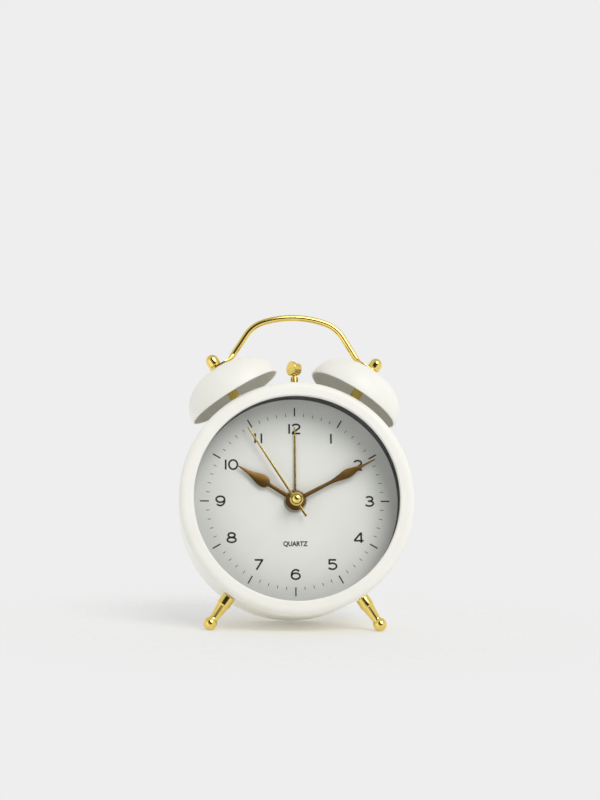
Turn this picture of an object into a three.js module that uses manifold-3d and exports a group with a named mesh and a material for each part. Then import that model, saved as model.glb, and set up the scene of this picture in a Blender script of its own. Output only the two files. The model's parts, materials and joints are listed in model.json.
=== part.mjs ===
// A twin-bell quartz alarm clock: a round painted metal case that leans back on its lower rear
// edge and two brass legs, with two domed bells, a wire handle, a striking hammer, and a
// battery movement behind the dial.
//
// Millimetres, +Z up. Every piece is drawn in the clock's own frame: the origin is the middle
// of the front opening, x runs to the right, y runs into the case from its front plane, and
// z runs up the dial. The whole group is then leaned back and stood on z = 0.

import * as THREE from "three";
import { mergeVertices } from "three/addons/utils/BufferGeometryUtils.js";
import Module from "manifold-3d";

const wasm = await Module();
wasm.setup();

// ---- Driving dimensions ----

const GAP = 0.3; // left between pieces that touch

const CASE_RADIUS = 44.2;
const CASE_DEPTH = 38.6;
const CASE_WALL = 0.9;
const CASE_SIDES = 56;
const OPENING_RADIUS = 38.7;
const BEZEL_ROUND = 3.9; // radius of the roll from the front face to the barrel

const LENS_FRONT = 2.2;
const LENS_THICKNESS = 1.4;
const LENS_RADIUS = 41.4;
const GASKET_FRONT = 3.9;
const GASKET_BACK = 5.4;
const INNER_RING_FRONT = 5.7;
const INNER_RING_RADIUS = 39.4;
const DIAL_FRONT = 12.5;
const DIAL_THICKNESS = 0.6;
const DIAL_BORE = 4.3;
const INSIDE_RADIUS = CASE_RADIUS - CASE_WALL - GAP; // of what drops into the barrel

const BELL_ANGLE = THREE.MathUtils.degToRad(32.4); // lean of each bell, from upright
const BELL_INSET = 2.6; // how far inside the case axis a bell's own axis passes
const BELL_PLACE = 18.5; // depth of the bells, hammer and handle
const BELL_RIM_RADIUS = 19.1;
const BELL_HEIGHT = 13.5;
const BELL_WALL = 0.8;
const BELL_RIM_FROM_AXIS = 46.9;
const BELL_FULLNESS = 2.2; // exponent of the dome's outline, 2 being an ellipse
const POST_RADIUS = 2.1;
const STUD_RADIUS = 1.3;
const STUD_REACH = 5.2; // how far a bell's stud stands above its post
const NUT_RADIUS = 2.9; // over the corners
const NUT_THICKNESS = 2;
const BELL_NUT_LOW = 40.4; // distance of the nuts' inner faces from the case axis
const LEG_NUT_LOW = 40.9;

const HANDLE_WIRE_RADIUS = 1.22;
const HANDLE_TOP = 73.5; // height of the wire's middle over the case axis
const HANDLE_ARC_RADIUS = 38;
const HANDLE_BEND_RADIUS = 13;
const HANDLE_LEG_SLOPE = THREE.MathUtils.degToRad(32); // from upright
const HANDLE_TAB_REACH = 6.2; // from the bell's axis to where the wire leaves its flat end
const HANDLE_TAB_THICKNESS = 0.8;
const HANDLE_TAB_WIDTH = 5.6;

const LEG_ANGLE = THREE.MathUtils.degToRad(34.2); // each side of straight down
const LEG_PLACE = 9; // depth of the legs
const LEG_BALL_RADIUS = 2.6;
const LEG_BALL_FROM_AXIS = 56.6;
const LEG_FLAT = 0.15; // how much of each ball is worn flat where it stands

const HAMMER_HEAD_HEIGHT = 53;
const HAMMER_PIVOT_HEIGHT = 31;
const HAMMER_HEAD_TURN = THREE.MathUtils.degToRad(-58); // its striking axis, from facing forward
const HAMMER_SWING = THREE.MathUtils.degToRad(12); // each way, until the head meets a bell
const HAMMER_STEM_RADIUS = 1.5;
const STEM_TIP_RADIUS = 0.8; // where the stem enters the head

const ALARM_HAND_TURN = THREE.MathUtils.degToRad(359.3);
const HOUR_HAND_TURN = THREE.MathUtils.degToRad(300.7);
const MINUTE_HAND_TURN = THREE.MathUtils.degToRad(61.8);
const SECOND_HAND_TURN = THREE.MathUtils.degToRad(326.5);
const HAND_THICKNESS = 0.25;
const HAND_CAP_RADIUS = 2.55;
const HAND_CAP_PLACE = 6.75; // depth of the ball's middle
const ALARM_HAND_FRONT = 11.6;
const HOUR_HAND_FRONT = 10.9;
const MINUTE_HAND_FRONT = 10.2;
const SECOND_HAND_FRONT = 9.6;

const MOVEMENT_FRONT = 13.4;
const MOVEMENT_BACK = 29.4;
const MOVEMENT_HALF_WIDTH = 25;
const MOVEMENT_LOW = -11;
const MOVEMENT_HIGH = 26;
const MOVEMENT_WALL = 1.2;

const COVER_FRONT = 36.4;
const COVER_BACK = 38.0;
const BATTERY_RADIUS = 7.1;
const BATTERY_LENGTH = 49.2;
const BATTERY_HEIGHT = -22;
const BATTERY_PLACE = 29.2;
const BAY_HALF_WIDTH = 28.7;
const BAY_HALF_HEIGHT = 8;
const BAY_WALL = 1;
const KNOB_RADIUS = 5.4;
const KNOB_BACK = 46.5;
const SHAFT_RADIUS = 0.9;

// ---- Materials ----

function finish(color, roughness, metalness) {
  return new THREE.MeshStandardMaterial({ color, roughness, metalness });
}

const whitePaint = finish(0xf5f5f0, 0.55, 0);
const gold = finish(0xd9b24c, 0.2, 1);
const blackPlastic = finish(0x141414, 0.5, 0);
const rubber = finish(0x3a3a3a, 0.8, 0);
const dialWhite = finish(0xeeeeec, 0.75, 0);
const clearGlass = new THREE.MeshStandardMaterial({
  color: 0xffffff,
  roughness: 0.05,
  transparent: true,
  opacity: 0.15,
});
const whitePlastic = finish(0xe9e9e4, 0.5, 0);
const gearPlastic = finish(0xf0ead6, 0.5, 0);
const steel = finish(0xb8bcc0, 0.35, 1);
const copper = finish(0xb4683a, 0.4, 1);
const boardGreen = finish(0x1f5a34, 0.6, 0);
const batteryWrap = finish(0x2c2f33, 0.4, 0);

// ---- Solids ----

// The solid of a closed geometry, whichever way round its faces are wound.
function solid(geometry) {
  const plain = geometry.clone();
  plain.deleteAttribute("normal");
  plain.deleteAttribute("uv");
  const merged = mergeVertices(plain, 1e-4);
  const index = merged.index.array;
  const faces = [];
  for (let i = 0; i < index.length; i += 3) {
    const [a, b, c] = [index[i], index[i + 1], index[i + 2]];
    if (a !== b && b !== c && c !== a) faces.push([a, b, c]);
  }
  const vertProperties = merged.attributes.position.array;
  const build = (list) =>
    new wasm.Manifold(
      new wasm.Mesh({ numProp: 3, vertProperties, triVerts: new Uint32Array(list.flat()) }),
    );
  const made = build(faces);
  return made.volume() > 0 ? made : build(faces.map(([a, b, c]) => [a, c, b]));
}

function geometryOf(body) {
  const { vertProperties, triVerts } = body.getMesh();
  return new THREE.BufferGeometry()
    .setAttribute("position", new THREE.BufferAttribute(vertProperties, 3))
    .setIndex(new THREE.BufferAttribute(triVerts, 1));
}

function joined(...bodies) {
  return bodies.reduce((all, body) => all.add(body));
}

function cut(body, ...tools) {
  return tools.reduce((left, tool) => left.subtract(tool), body);
}

function piece(name, body, material) {
  const mesh = new THREE.Mesh(geometryOf(body), material);
  mesh.name = name;
  return mesh;
}

// Turns an outline of [radius, depth] points about the y axis.
function turned(outline, sides, start = 0) {
  const points = outline.map(([r, y]) => new THREE.Vector2(r, y));
  if (outline[0][0] > 0) points.push(points[0].clone());
  return solid(new THREE.LatheGeometry(points, sides, start));
}

function disc(radius, front, back, sides) {
  return turned([[0, front], [radius, front], [radius, back], [0, back]], sides);
}

function ring(inner, outer, front, back, sides) {
  return turned([[inner, front], [outer, front], [outer, back], [inner, back]], sides);
}

// A flat plate from front to back, cut to a shape drawn in x and z.
function plate(shape, front, back) {
  const geometry = new THREE.ExtrudeGeometry(shape, {
    depth: back - front,
    bevelEnabled: false,
    curveSegments: 8,
  });
  return solid(geometry.rotateX(Math.PI / 2).translate(0, back, 0));
}

// A box between two corners.
function block([x0, y0, z0], [x1, y1, z1]) {
  const geometry = new THREE.BoxGeometry(x1 - x0, y1 - y0, z1 - z0);
  return solid(geometry.translate((x0 + x1) / 2, (y0 + y1) / 2, (z0 + z1) / 2));
}

// A rod whose axis runs up from low to high, at depth y.
function upright(radius, low, high, y, sides = 16) {
  const geometry = new THREE.CylinderGeometry(radius, radius, high - low, sides);
  return solid(geometry.rotateX(Math.PI / 2).translate(0, y, (low + high) / 2));
}

// A rod whose axis runs from left to right.
function crossways(radius, left, right, y, z, sides = 16) {
  const geometry = new THREE.CylinderGeometry(radius, radius, right - left, sides);
  return solid(geometry.rotateZ(Math.PI / 2).translate((left + right) / 2, y, z));
}

// A rod whose axis runs from front to back.
function endways(radius, front, back, x, z, sides = 16) {
  const geometry = new THREE.CylinderGeometry(radius, radius, back - front, sides);
  return solid(geometry.translate(x, (front + back) / 2, z));
}

// Turns a body about the y axis, clockwise as seen from the front.
function swung(body, angle) {
  return solid(geometryOf(body).rotateY(angle));
}

const SIDES = { left: -1, right: 1 };

// Sets a body drawn about the z axis on the axis of the bell on that side.
function onBell(body, sign) {
  return swung(solid(geometryOf(body).translate(-sign * BELL_INSET, 0, 0)), sign * BELL_ANGLE);
}

// Turns an outline of [radius, height] points about the z axis, at depth y.
function stood(outline, y, sides) {
  const points = outline.map(([r, z]) => new THREE.Vector2(r, z));
  if (outline[0][0] > 0) points.push(points[0].clone());
  const geometry = new THREE.LatheGeometry(points, sides);
  return solid(geometry.rotateX(Math.PI / 2).translate(0, y, 0));
}

function quarterRound(centreR, centreY, radius, from, to, steps) {
  return Array.from({ length: steps + 1 }, (_, i) => {
    const angle = THREE.MathUtils.degToRad(from + ((to - from) * i) / steps);
    return [centreR + radius * Math.cos(angle), centreY + radius * Math.sin(angle)];
  });
}

// ---- Case and front ----

function caseBody() {
  const roll = BEZEL_ROUND;
  const inner = CASE_RADIUS - CASE_WALL;
  const shell = turned(
    [
      [OPENING_RADIUS, 1.9],
      [OPENING_RADIUS, 0.7],
      [OPENING_RADIUS + 0.7, 0],
      ...quarterRound(CASE_RADIUS - roll, roll, roll, -90, 0, 4),
      [CASE_RADIUS, CASE_DEPTH - 0.8],
      [CASE_RADIUS - 0.4, CASE_DEPTH],
      [inner, CASE_DEPTH],
      [inner, 3.4],
      [inner - 2, 1.9],
    ],
    CASE_SIDES,
    Math.PI / CASE_SIDES,
  );
  const drill = (y) => upright(STUD_RADIUS + GAP, 40, 48, y);
  // The slot in the top lets the hammer's stem swing.
  const arm = CASE_RADIUS - HAMMER_PIVOT_HEIGHT;
  const slot = arm * Math.tan(HAMMER_SWING) + HAMMER_STEM_RADIUS / Math.cos(HAMMER_SWING) + GAP;
  return cut(
    shell,
    ...Object.values(SIDES).flatMap((sign) => [
      onBell(drill(BELL_PLACE), sign),
      swung(drill(LEG_PLACE), Math.PI - sign * LEG_ANGLE),
    ]),
    block([-slot, BELL_PLACE - 2.2, 40], [slot, BELL_PLACE + 2.2, 48]),
  );
}

function front() {
  const lensBack = LENS_FRONT + LENS_THICKNESS;
  const ringBack = DIAL_FRONT - GAP;
  return [
    piece("case_body", caseBody(), whitePaint),
    piece("lens", disc(LENS_RADIUS, LENS_FRONT, lensBack, 40), clearGlass),
    piece("lens_gasket", ring(39.1, INSIDE_RADIUS, GASKET_FRONT, GASKET_BACK, 40), rubber),
    piece(
      "inner_ring",
      ring(INNER_RING_RADIUS, INNER_RING_RADIUS + 1.2, INNER_RING_FRONT, ringBack, 40),
      blackPlastic,
    ),
    piece(
      "dial",
      ring(DIAL_BORE, INSIDE_RADIUS, DIAL_FRONT, DIAL_FRONT + DIAL_THICKNESS, 40),
      dialWhite,
    ),
  ];
}

// ---- Bells, handle and legs ----

// The dome's outline, from its rim to its crown, for a dome this much smaller than the outside.
function dome(inset, steps) {
  return Array.from({ length: steps + 1 }, (_, i) => {
    const angle = (Math.PI / 2) * (i / steps);
    const power = 2 / BELL_FULLNESS;
    return [
      (BELL_RIM_RADIUS - inset) * Math.cos(angle) ** power,
      (BELL_HEIGHT - inset) * Math.sin(angle) ** power,
    ];
  });
}

function bell() {
  const outside = dome(0, 7);
  const inside = dome(BELL_WALL, 7);
  outside[outside.length - 1][0] = 0;
  inside[inside.length - 1][0] = 0;
  const shell = stood([...outside, ...inside.reverse()], 0, 28);
  return cut(shell, upright(STUD_RADIUS + GAP, BELL_HEIGHT - 4, BELL_HEIGHT + 4, 0, 12));
}

function bellPost() {
  const bottom = CASE_RADIUS + GAP;
  const shoulder = BELL_RIM_FROM_AXIS + BELL_HEIGHT - BELL_WALL - GAP;
  return stood(
    [
      [0, BELL_NUT_LOW - 0.8],
      [STUD_RADIUS, BELL_NUT_LOW - 0.8],
      [STUD_RADIUS, bottom],
      [POST_RADIUS, bottom],
      [POST_RADIUS, shoulder],
      [STUD_RADIUS, shoulder],
      [STUD_RADIUS, shoulder + STUD_REACH],
      [0, shoulder + STUD_REACH],
    ],
    0,
    16,
  );
}

const TAB_BOTTOM = BELL_RIM_FROM_AXIS + BELL_HEIGHT + 0.15;
const TAB_TOP = TAB_BOTTOM + HANDLE_TAB_THICKNESS;

function capNut() {
  const bottom = TAB_TOP + GAP;
  const body = stood(
    [
      [0, bottom],
      [2.1, bottom],
      [2.5, bottom + 0.6],
      ...quarterRound(0, bottom + 2.4, 2.5, 0, 90, 4).slice(0, -1),
      [0, bottom + 4.9],
    ],
    0,
    16,
  );
  return cut(body, upright(STUD_RADIUS + GAP, bottom - 1, bottom + 3.4, 0, 12));
}

function hexNut(low) {
  const high = low + NUT_THICKNESS;
  const outer = upright(NUT_RADIUS, low, high, 0, 6);
  return cut(outer, upright(STUD_RADIUS + GAP, low - 1, high + 1, 0, 12));
}

function bells() {
  return Object.entries(SIDES).map(([side, sign]) => {
    const stack = new THREE.Group();
    stack.position.x = -sign * BELL_INSET;
    const dome = piece("bell_" + side, bell(), whitePaint);
    dome.position.z = BELL_RIM_FROM_AXIS;
    stack.add(
      dome,
      piece("bell_post_" + side, bellPost(), gold),
      piece("bell_cap_nut_" + side, capNut(), gold),
      piece("bell_inner_nut_" + side, hexNut(BELL_NUT_LOW), steel),
    );
    const arm = new THREE.Group();
    arm.rotation.y = sign * BELL_ANGLE;
    arm.position.y = BELL_PLACE;
    arm.add(stack);
    return arm;
  });
}

// A flat plate drawn in the bell's own x and y, lying from low to high along its axis.
function lying(shape, low, high) {
  const geometry = new THREE.ExtrudeGeometry(shape, {
    depth: high - low,
    bevelEnabled: false,
    curveSegments: 8,
  });
  return solid(geometry.translate(0, 0, low));
}

// The wire's middle line: a wide arc on top, a bend at each corner, and a straight leg that
// comes down to the flat tab on each bell.
function handlePath() {
  const arcCentre = HANDLE_TOP - HANDLE_ARC_RADIUS;
  const along = new THREE.Vector2(Math.cos(BELL_ANGLE), -Math.sin(BELL_ANGLE));
  const outward = new THREE.Vector2(Math.sin(BELL_ANGLE), Math.cos(BELL_ANGLE));
  const foot = outward.clone().multiplyScalar((TAB_BOTTOM + TAB_TOP) / 2);
  foot.addScaledVector(along, -HANDLE_TAB_REACH - BELL_INSET);
  const down = new THREE.Vector2(Math.sin(HANDLE_LEG_SLOPE), -Math.cos(HANDLE_LEG_SLOPE));
  // The bend's middle is one bend radius inside both the arc and the leg's line.
  const inward = new THREE.Vector2(down.y, -down.x);
  const reach = HANDLE_ARC_RADIUS - HANDLE_BEND_RADIUS;
  const start = foot.clone().addScaledVector(inward, HANDLE_BEND_RADIUS);
  start.y -= arcCentre;
  const half = start.dot(down);
  const back = half + Math.sqrt(half * half - (start.lengthSq() - reach * reach));
  const bend = start.clone().addScaledVector(down, -back);
  const turnStart = Math.atan2(bend.y, bend.x);
  bend.y += arcCentre;
  const turnEnd = Math.atan2(-inward.y, -inward.x);
  const points = [foot];
  const steps = { bend: 5, arc: 7 };
  for (let i = 0; i <= steps.bend; i++) {
    const angle = turnEnd + ((turnStart - turnEnd) * i) / steps.bend;
    points.push(
      new THREE.Vector2(Math.cos(angle), Math.sin(angle))
        .multiplyScalar(HANDLE_BEND_RADIUS)
        .add(bend),
    );
  }
  for (let i = 1; i <= steps.arc; i++) {
    const angle = turnStart + ((Math.PI / 2 - turnStart) * i) / steps.arc;
    points.push(
      new THREE.Vector2(
        HANDLE_ARC_RADIUS * Math.cos(angle),
        arcCentre + HANDLE_ARC_RADIUS * Math.sin(angle),
      ),
    );
  }
  const mirrored = points.slice(0, -1).reverse().map((p) => new THREE.Vector2(-p.x, p.y));
  const path = new THREE.CurvePath();
  const all = [...points, ...mirrored].map((p) => new THREE.Vector3(p.x, 0, p.y));
  for (let i = 1; i < all.length; i++) path.add(new THREE.LineCurve3(all[i - 1], all[i]));
  return path;
}

// The wire's flattened end: round about its bore, and narrowing inwards to the wire.
function handleTab(sign) {
  const half = HANDLE_TAB_WIDTH / 2;
  const inner = -HANDLE_TAB_REACH - 1;
  const shape = new THREE.Shape();
  shape.moveTo(inner, -1.1);
  shape.absarc(0, 0, half, -Math.PI / 2, Math.PI / 2, false);
  shape.lineTo(inner, 1.1);
  shape.holes.push(new THREE.Path().absarc(0, 0, STUD_RADIUS + GAP, 0, 2 * Math.PI, true));
  const tab = lying(shape, TAB_BOTTOM, TAB_TOP);
  return sign > 0 ? tab : solid(geometryOf(tab).rotateZ(Math.PI));
}

// The wire as a chain of rings set square to the path, with its flattened ends.
function handle() {
  const line = handlePath().curves;
  const nodes = [line[0].v1, ...line.map((c) => c.v2)];
  const sides = 10;
  const vertices = [];
  nodes.forEach((node, i) => {
    const before = nodes[Math.max(i - 1, 0)];
    const after = nodes[Math.min(i + 1, nodes.length - 1)];
    const ahead = after.clone().sub(before).normalize();
    const across = new THREE.Vector3(0, 1, 0).cross(ahead);
    for (let k = 0; k < sides; k++) {
      const angle = (2 * Math.PI * k) / sides;
      vertices.push(
        node
          .clone()
          .addScaledVector(across, HANDLE_WIRE_RADIUS * Math.cos(angle))
          .add(new THREE.Vector3(0, HANDLE_WIRE_RADIUS * Math.sin(angle), 0)),
      );
    }
  });
  const faces = [];
  for (let i = 0; i < nodes.length - 1; i++) {
    for (let k = 0; k < sides; k++) {
      const [a, b] = [i * sides + k, i * sides + ((k + 1) % sides)];
      faces.push(a, b, b + sides, a, b + sides, a + sides);
    }
  }
  const last = (nodes.length - 1) * sides;
  for (let k = 1; k < sides - 1; k++) {
    faces.push(0, k + 1, k, last, last + k, last + k + 1);
  }
  const wire = new THREE.BufferGeometry().setFromPoints(vertices).setIndex(faces);
  const body = joined(
    solid(wire),
    ...Object.values(SIDES).map((sign) => onBell(handleTab(sign), sign)),
  );
  const under = block([-14, -4, TAB_BOTTOM - 4], [14, 4, TAB_BOTTOM]);
  const trimmed = cut(body, ...Object.values(SIDES).map((sign) => onBell(under, sign)));
  const mesh = piece("handle", trimmed, gold);
  mesh.position.y = BELL_PLACE;
  return mesh;
}

// How far the clock leans back to stand on both feet and the lower rear edge of its case.
function leanAngle() {
  const run = CASE_DEPTH - LEG_PLACE;
  const caseBottom = CASE_RADIUS * Math.cos(Math.PI / CASE_SIDES);
  const drop = LEG_BALL_FROM_AXIS * Math.cos(LEG_ANGLE) - caseBottom;
  const reach = Math.hypot(run, drop);
  return Math.asin((LEG_BALL_RADIUS - LEG_FLAT) / reach) + Math.atan2(drop, run);
}

const LEAN = leanAngle();

function leg(sign) {
  const top = CASE_RADIUS + GAP;
  const ball = LEG_BALL_FROM_AXIS;
  const neck = ball - 2.1;
  const body = stood(
    [
      [0, LEG_NUT_LOW + 0.1],
      [STUD_RADIUS, LEG_NUT_LOW + 0.1],
      [STUD_RADIUS, top],
      [2.6, top],
      [2.6, top + 3.8],
      [2.3, top + 4.2],
      [1.55, neck],
      ...quarterRound(0, ball, LEG_BALL_RADIUS, -53, 60, 5),
      [0, ball + LEG_BALL_RADIUS * Math.sin(Math.PI / 3)],
    ],
    LEG_PLACE,
    16,
  );
  const placed = swung(body, Math.PI - sign * LEG_ANGLE);
  const ballHeight = -LEG_BALL_FROM_AXIS * Math.cos(LEG_ANGLE);
  const floor = new THREE.BoxGeometry(120, 60, 10);
  floor.translate(0, 0, -5 - (LEG_BALL_RADIUS - LEG_FLAT));
  floor.rotateX(LEAN).translate(0, LEG_PLACE, ballHeight);
  return cut(placed, solid(floor));
}

function legs() {
  return Object.entries(SIDES).flatMap(([side, sign]) => {
    const nut = piece("leg_nut_" + side, hexNut(LEG_NUT_LOW), steel);
    nut.position.y = LEG_PLACE;
    nut.rotation.y = Math.PI - sign * LEG_ANGLE;
    return [piece("leg_" + side, leg(sign), gold), nut];
  });
}

// ---- Hammer and its electromagnet ----

const ARM_TOP = 41.6;
const COIL_HEIGHT = 36.2;

function hammerHead() {
  const faceRadius = 2.95;
  const body = turned(
    [
      [0, -2],
      [faceRadius - 0.3, -2],
      [faceRadius, -1.7],
      [faceRadius, -0.7],
      [2.5, -0.5],
      [2.5, 1.6],
      [2.2, 2],
      [0, 2],
    ],
    20,
  );
  const turnedHead = solid(geometryOf(body).rotateZ(HAMMER_HEAD_TURN));
  return cut(turnedHead, upright(STEM_TIP_RADIUS + GAP, -4.2, -0.2, 0, 12));
}

function hammerParts() {
  const group = new THREE.Group();
  group.position.y = BELL_PLACE;
  const head = piece("hammer_head", hammerHead(), gold);
  head.position.z = HAMMER_HEAD_HEIGHT;
  const stem = stood(
    [
      [0, ARM_TOP + GAP],
      [HAMMER_STEM_RADIUS, ARM_TOP + GAP],
      [HAMMER_STEM_RADIUS, HAMMER_HEAD_HEIGHT - 3.3],
      [STEM_TIP_RADIUS, HAMMER_HEAD_HEIGHT - 3.3],
      [STEM_TIP_RADIUS, HAMMER_HEAD_HEIGHT - 0.6],
      [0, HAMMER_HEAD_HEIGHT - 0.6],
    ],
    0,
    12,
  );
  const bar = block([-1.5, -1.2, HAMMER_PIVOT_HEIGHT - 2.6], [1.5, 1.2, ARM_TOP]);
  const pivotBore = endways(1.1, -3, 3, 0, HAMMER_PIVOT_HEIGHT, 12);
  const armature = block([1.8, -2.4, COIL_HEIGHT - 3], [2.8, 2.4, COIL_HEIGHT + 3]);
  group.add(
    head,
    piece("hammer_stem", stem, gold),
    piece("hammer_arm", cut(bar, pivotBore), steel),
    piece("armature", armature, steel),
    piece("hammer_pivot_pin", endways(0.8, -2.4, 2.9, 0, HAMMER_PIVOT_HEIGHT, 12), steel),
    piece("hammer_spring", ring(1.1, 1.7, 1.5, 2.9, 16), steel),
    piece("hammer_yoke", yoke(), steel),
    piece("striker_core", crossways(1.2, 5.2, 13.2, 0, COIL_HEIGHT, 12), steel),
    piece("striker_coil", coil(5.8, 12.8), copper),
  );
  group.getObjectByName("hammer_spring").position.z = HAMMER_PIVOT_HEIGHT;
  return group;
}

// The winding and its two end flanges, around the core.
function coil(left, right) {
  const at = [0, COIL_HEIGHT, 16];
  const body = joined(
    crossways(2.8, left, right, ...at),
    crossways(3.2, left, left + 0.8, ...at),
    crossways(3.2, right - 0.8, right, ...at),
  );
  return cut(body, crossways(1.2 + GAP, left - 1, right + 1, 0, COIL_HEIGHT, 12));
}

// A steel plate behind the arm, with a lug that holds the core's far end.
function yoke() {
  const back = block([-6, 3.2, 27.3], [14.8, 4.4, 39.4]);
  const lug = block([13.5, -3, COIL_HEIGHT - 3.2], [14.8, 3.8, COIL_HEIGHT + 3.2]);
  return joined(back, lug);
}

// ---- Hands ----

// A boss with a bore, and the blade's outline drawn pointing at twelve.
function hand(boss, bore, front, outline) {
  const shape = new THREE.Shape();
  shape.moveTo(outline[0][0], outline[0][1]);
  outline.slice(1).forEach(([x, z]) => shape.lineTo(x, z));
  [...outline].reverse().forEach(([x, z]) => shape.lineTo(-x, z));
  const back = front + HAND_THICKNESS;
  return cut(
    joined(plate(shape, front, back), disc(boss, front, back, 24)),
    disc(bore, front - 1, back + 1, 16),
  );
}

// Tubes of the hands' arbors, from the innermost outwards.
const ARBOR_RADIUS = 0.5;
const MINUTE_TUBE = [0.8, 1.25];
const HOUR_TUBE = [1.55, 2.0];
const ALARM_TUBE = [2.3, 2.75];

function hands() {
  const alarm = hand(3.7, ALARM_TUBE[1] + GAP, ALARM_HAND_FRONT, [
    [0.45, 1],
    [0.35, 20],
    [0.28, 28.5],
  ]);
  const hour = hand(3.8, HOUR_TUBE[1] + GAP, HOUR_HAND_FRONT, [
    [0.85, 1],
    [0.75, 11.9],
    [1.35, 12.2],
    [2.0, 12.9],
    [2.35, 14],
    [2.3, 15.4],
    [1.85, 17.2],
    [1.15, 19.3],
    [0.7, 21.6],
    [0.14, 26],
  ]);
  const minute = hand(3.4, MINUTE_TUBE[1] + GAP, MINUTE_HAND_FRONT, [
    [0.85, 1],
    [0.7, 15.6],
    [1.1, 18.4],
    [1.65, 21.2],
    [1.75, 22.8],
    [1.35, 24.9],
    [0.75, 27.6],
    [0.45, 29.4],
    [0.2, 34.6],
  ]);
  const second = hand(1.4, ARBOR_RADIUS + GAP, SECOND_HAND_FRONT, [
    [0.48, -7.3],
    [0.4, 20],
    [0.28, 33.1],
  ]);
  const cap = turned(
    [
      [0, HAND_CAP_PLACE - HAND_CAP_RADIUS],
      ...quarterRound(0, HAND_CAP_PLACE, HAND_CAP_RADIUS, -70, 70, 6),
      [0, HAND_CAP_PLACE + HAND_CAP_RADIUS * 0.94],
    ],
    16,
  );
  const all = {
    alarm_hand: [alarm, ALARM_HAND_TURN],
    hour_hand: [hour, HOUR_HAND_TURN],
    minute_hand: [minute, MINUTE_HAND_TURN],
    second_hand: [second, SECOND_HAND_TURN],
    hand_cap: [cap, SECOND_HAND_TURN],
  };
  return Object.entries(all).map(([name, [body, turn]]) => {
    const mesh = piece(name, body, gold);
    mesh.rotation.y = turn;
    return mesh;
  });
}

// ---- Movement ----

// A toothed disc with its first tooth at phase, counted anticlockwise from +x.
function gear(teeth, module, front, back, phase) {
  const pitch = (teeth * module) / 2;
  const tip = pitch + 0.75 * module;
  const root = pitch - 1.0 * module;
  const step = (2 * Math.PI) / teeth;
  const shape = new THREE.Shape();
  for (let i = 0; i < teeth; i++) {
    const middle = phase + i * step;
    const corners = [[root, -0.28], [tip, 0], [root, 0.28]];
    corners.forEach(([r, share], k) => {
      const angle = middle + share * step;
      const point = [r * Math.cos(angle), r * Math.sin(angle)];
      if (i + k) shape.lineTo(...point);
      else shape.moveTo(...point);
    });
  }
  return plate(shape, front, back);
}

// The phase of a gear of this many teeth that meshes with a driver in this direction from it.
function meshed(driverTeeth, driverPhase, direction, teeth) {
  const offset = ((direction - driverPhase) * driverTeeth) / (2 * Math.PI);
  return direction + Math.PI - ((0.5 - offset) * 2 * Math.PI) / teeth;
}

const degrees = THREE.MathUtils.degToRad;

// Teeth, tooth size and direction of each mesh of the going train and the motion work.
const ROTOR = { pinion: 6, module: 0.3, direction: degrees(90) }; // from the intermediate wheel
const INTERMEDIATE = { wheel: 30, pinion: 6, module: 0.36, direction: degrees(130) };
const SECOND = { wheel: 36, pinion: 6, module: 0.3176 };
const THIRD = { wheel: 45, pinion: 6, module: 0.3, direction: degrees(60) };
const CENTRE = { wheel: 48 };
const CANNON = { pinion: 8, module: 0.4 };
const MINUTE = { wheel: 24, pinion: 8, module: 0.32, direction: 0 };
const HOUR = { wheel: 32 };
const TIME_SETTER = { pinion: 12, direction: degrees(35) }; // from the minute wheel
const ALARM = { wheel: 30, module: 0.5 };
const ALARM_SETTER = { pinion: 10, direction: degrees(170) };

function along(distance, direction, [x, z] = [0, 0]) {
  return [x + distance * Math.cos(direction), z + distance * Math.sin(direction)];
}

function apart(one, other, module) {
  return ((one + other) * module) / 2;
}

const intermediateAt = along(
  apart(INTERMEDIATE.pinion, SECOND.wheel, INTERMEDIATE.module),
  INTERMEDIATE.direction,
);
const rotorAt = along(
  apart(ROTOR.pinion, INTERMEDIATE.wheel, ROTOR.module),
  ROTOR.direction,
  intermediateAt,
);
const thirdAt = along(apart(THIRD.wheel, SECOND.pinion, SECOND.module), THIRD.direction);
const minuteAt = along(apart(CANNON.pinion, MINUTE.wheel, CANNON.module), MINUTE.direction);
const timeSetterAt = along(
  apart(MINUTE.wheel, TIME_SETTER.pinion, CANNON.module),
  TIME_SETTER.direction,
  minuteAt,
);
const alarmSetterAt = along(
  apart(ALARM.wheel, ALARM_SETTER.pinion, ALARM.module),
  ALARM_SETTER.direction,
);

function rod(radius, front, back) {
  return disc(radius, front, back, 12);
}

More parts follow.
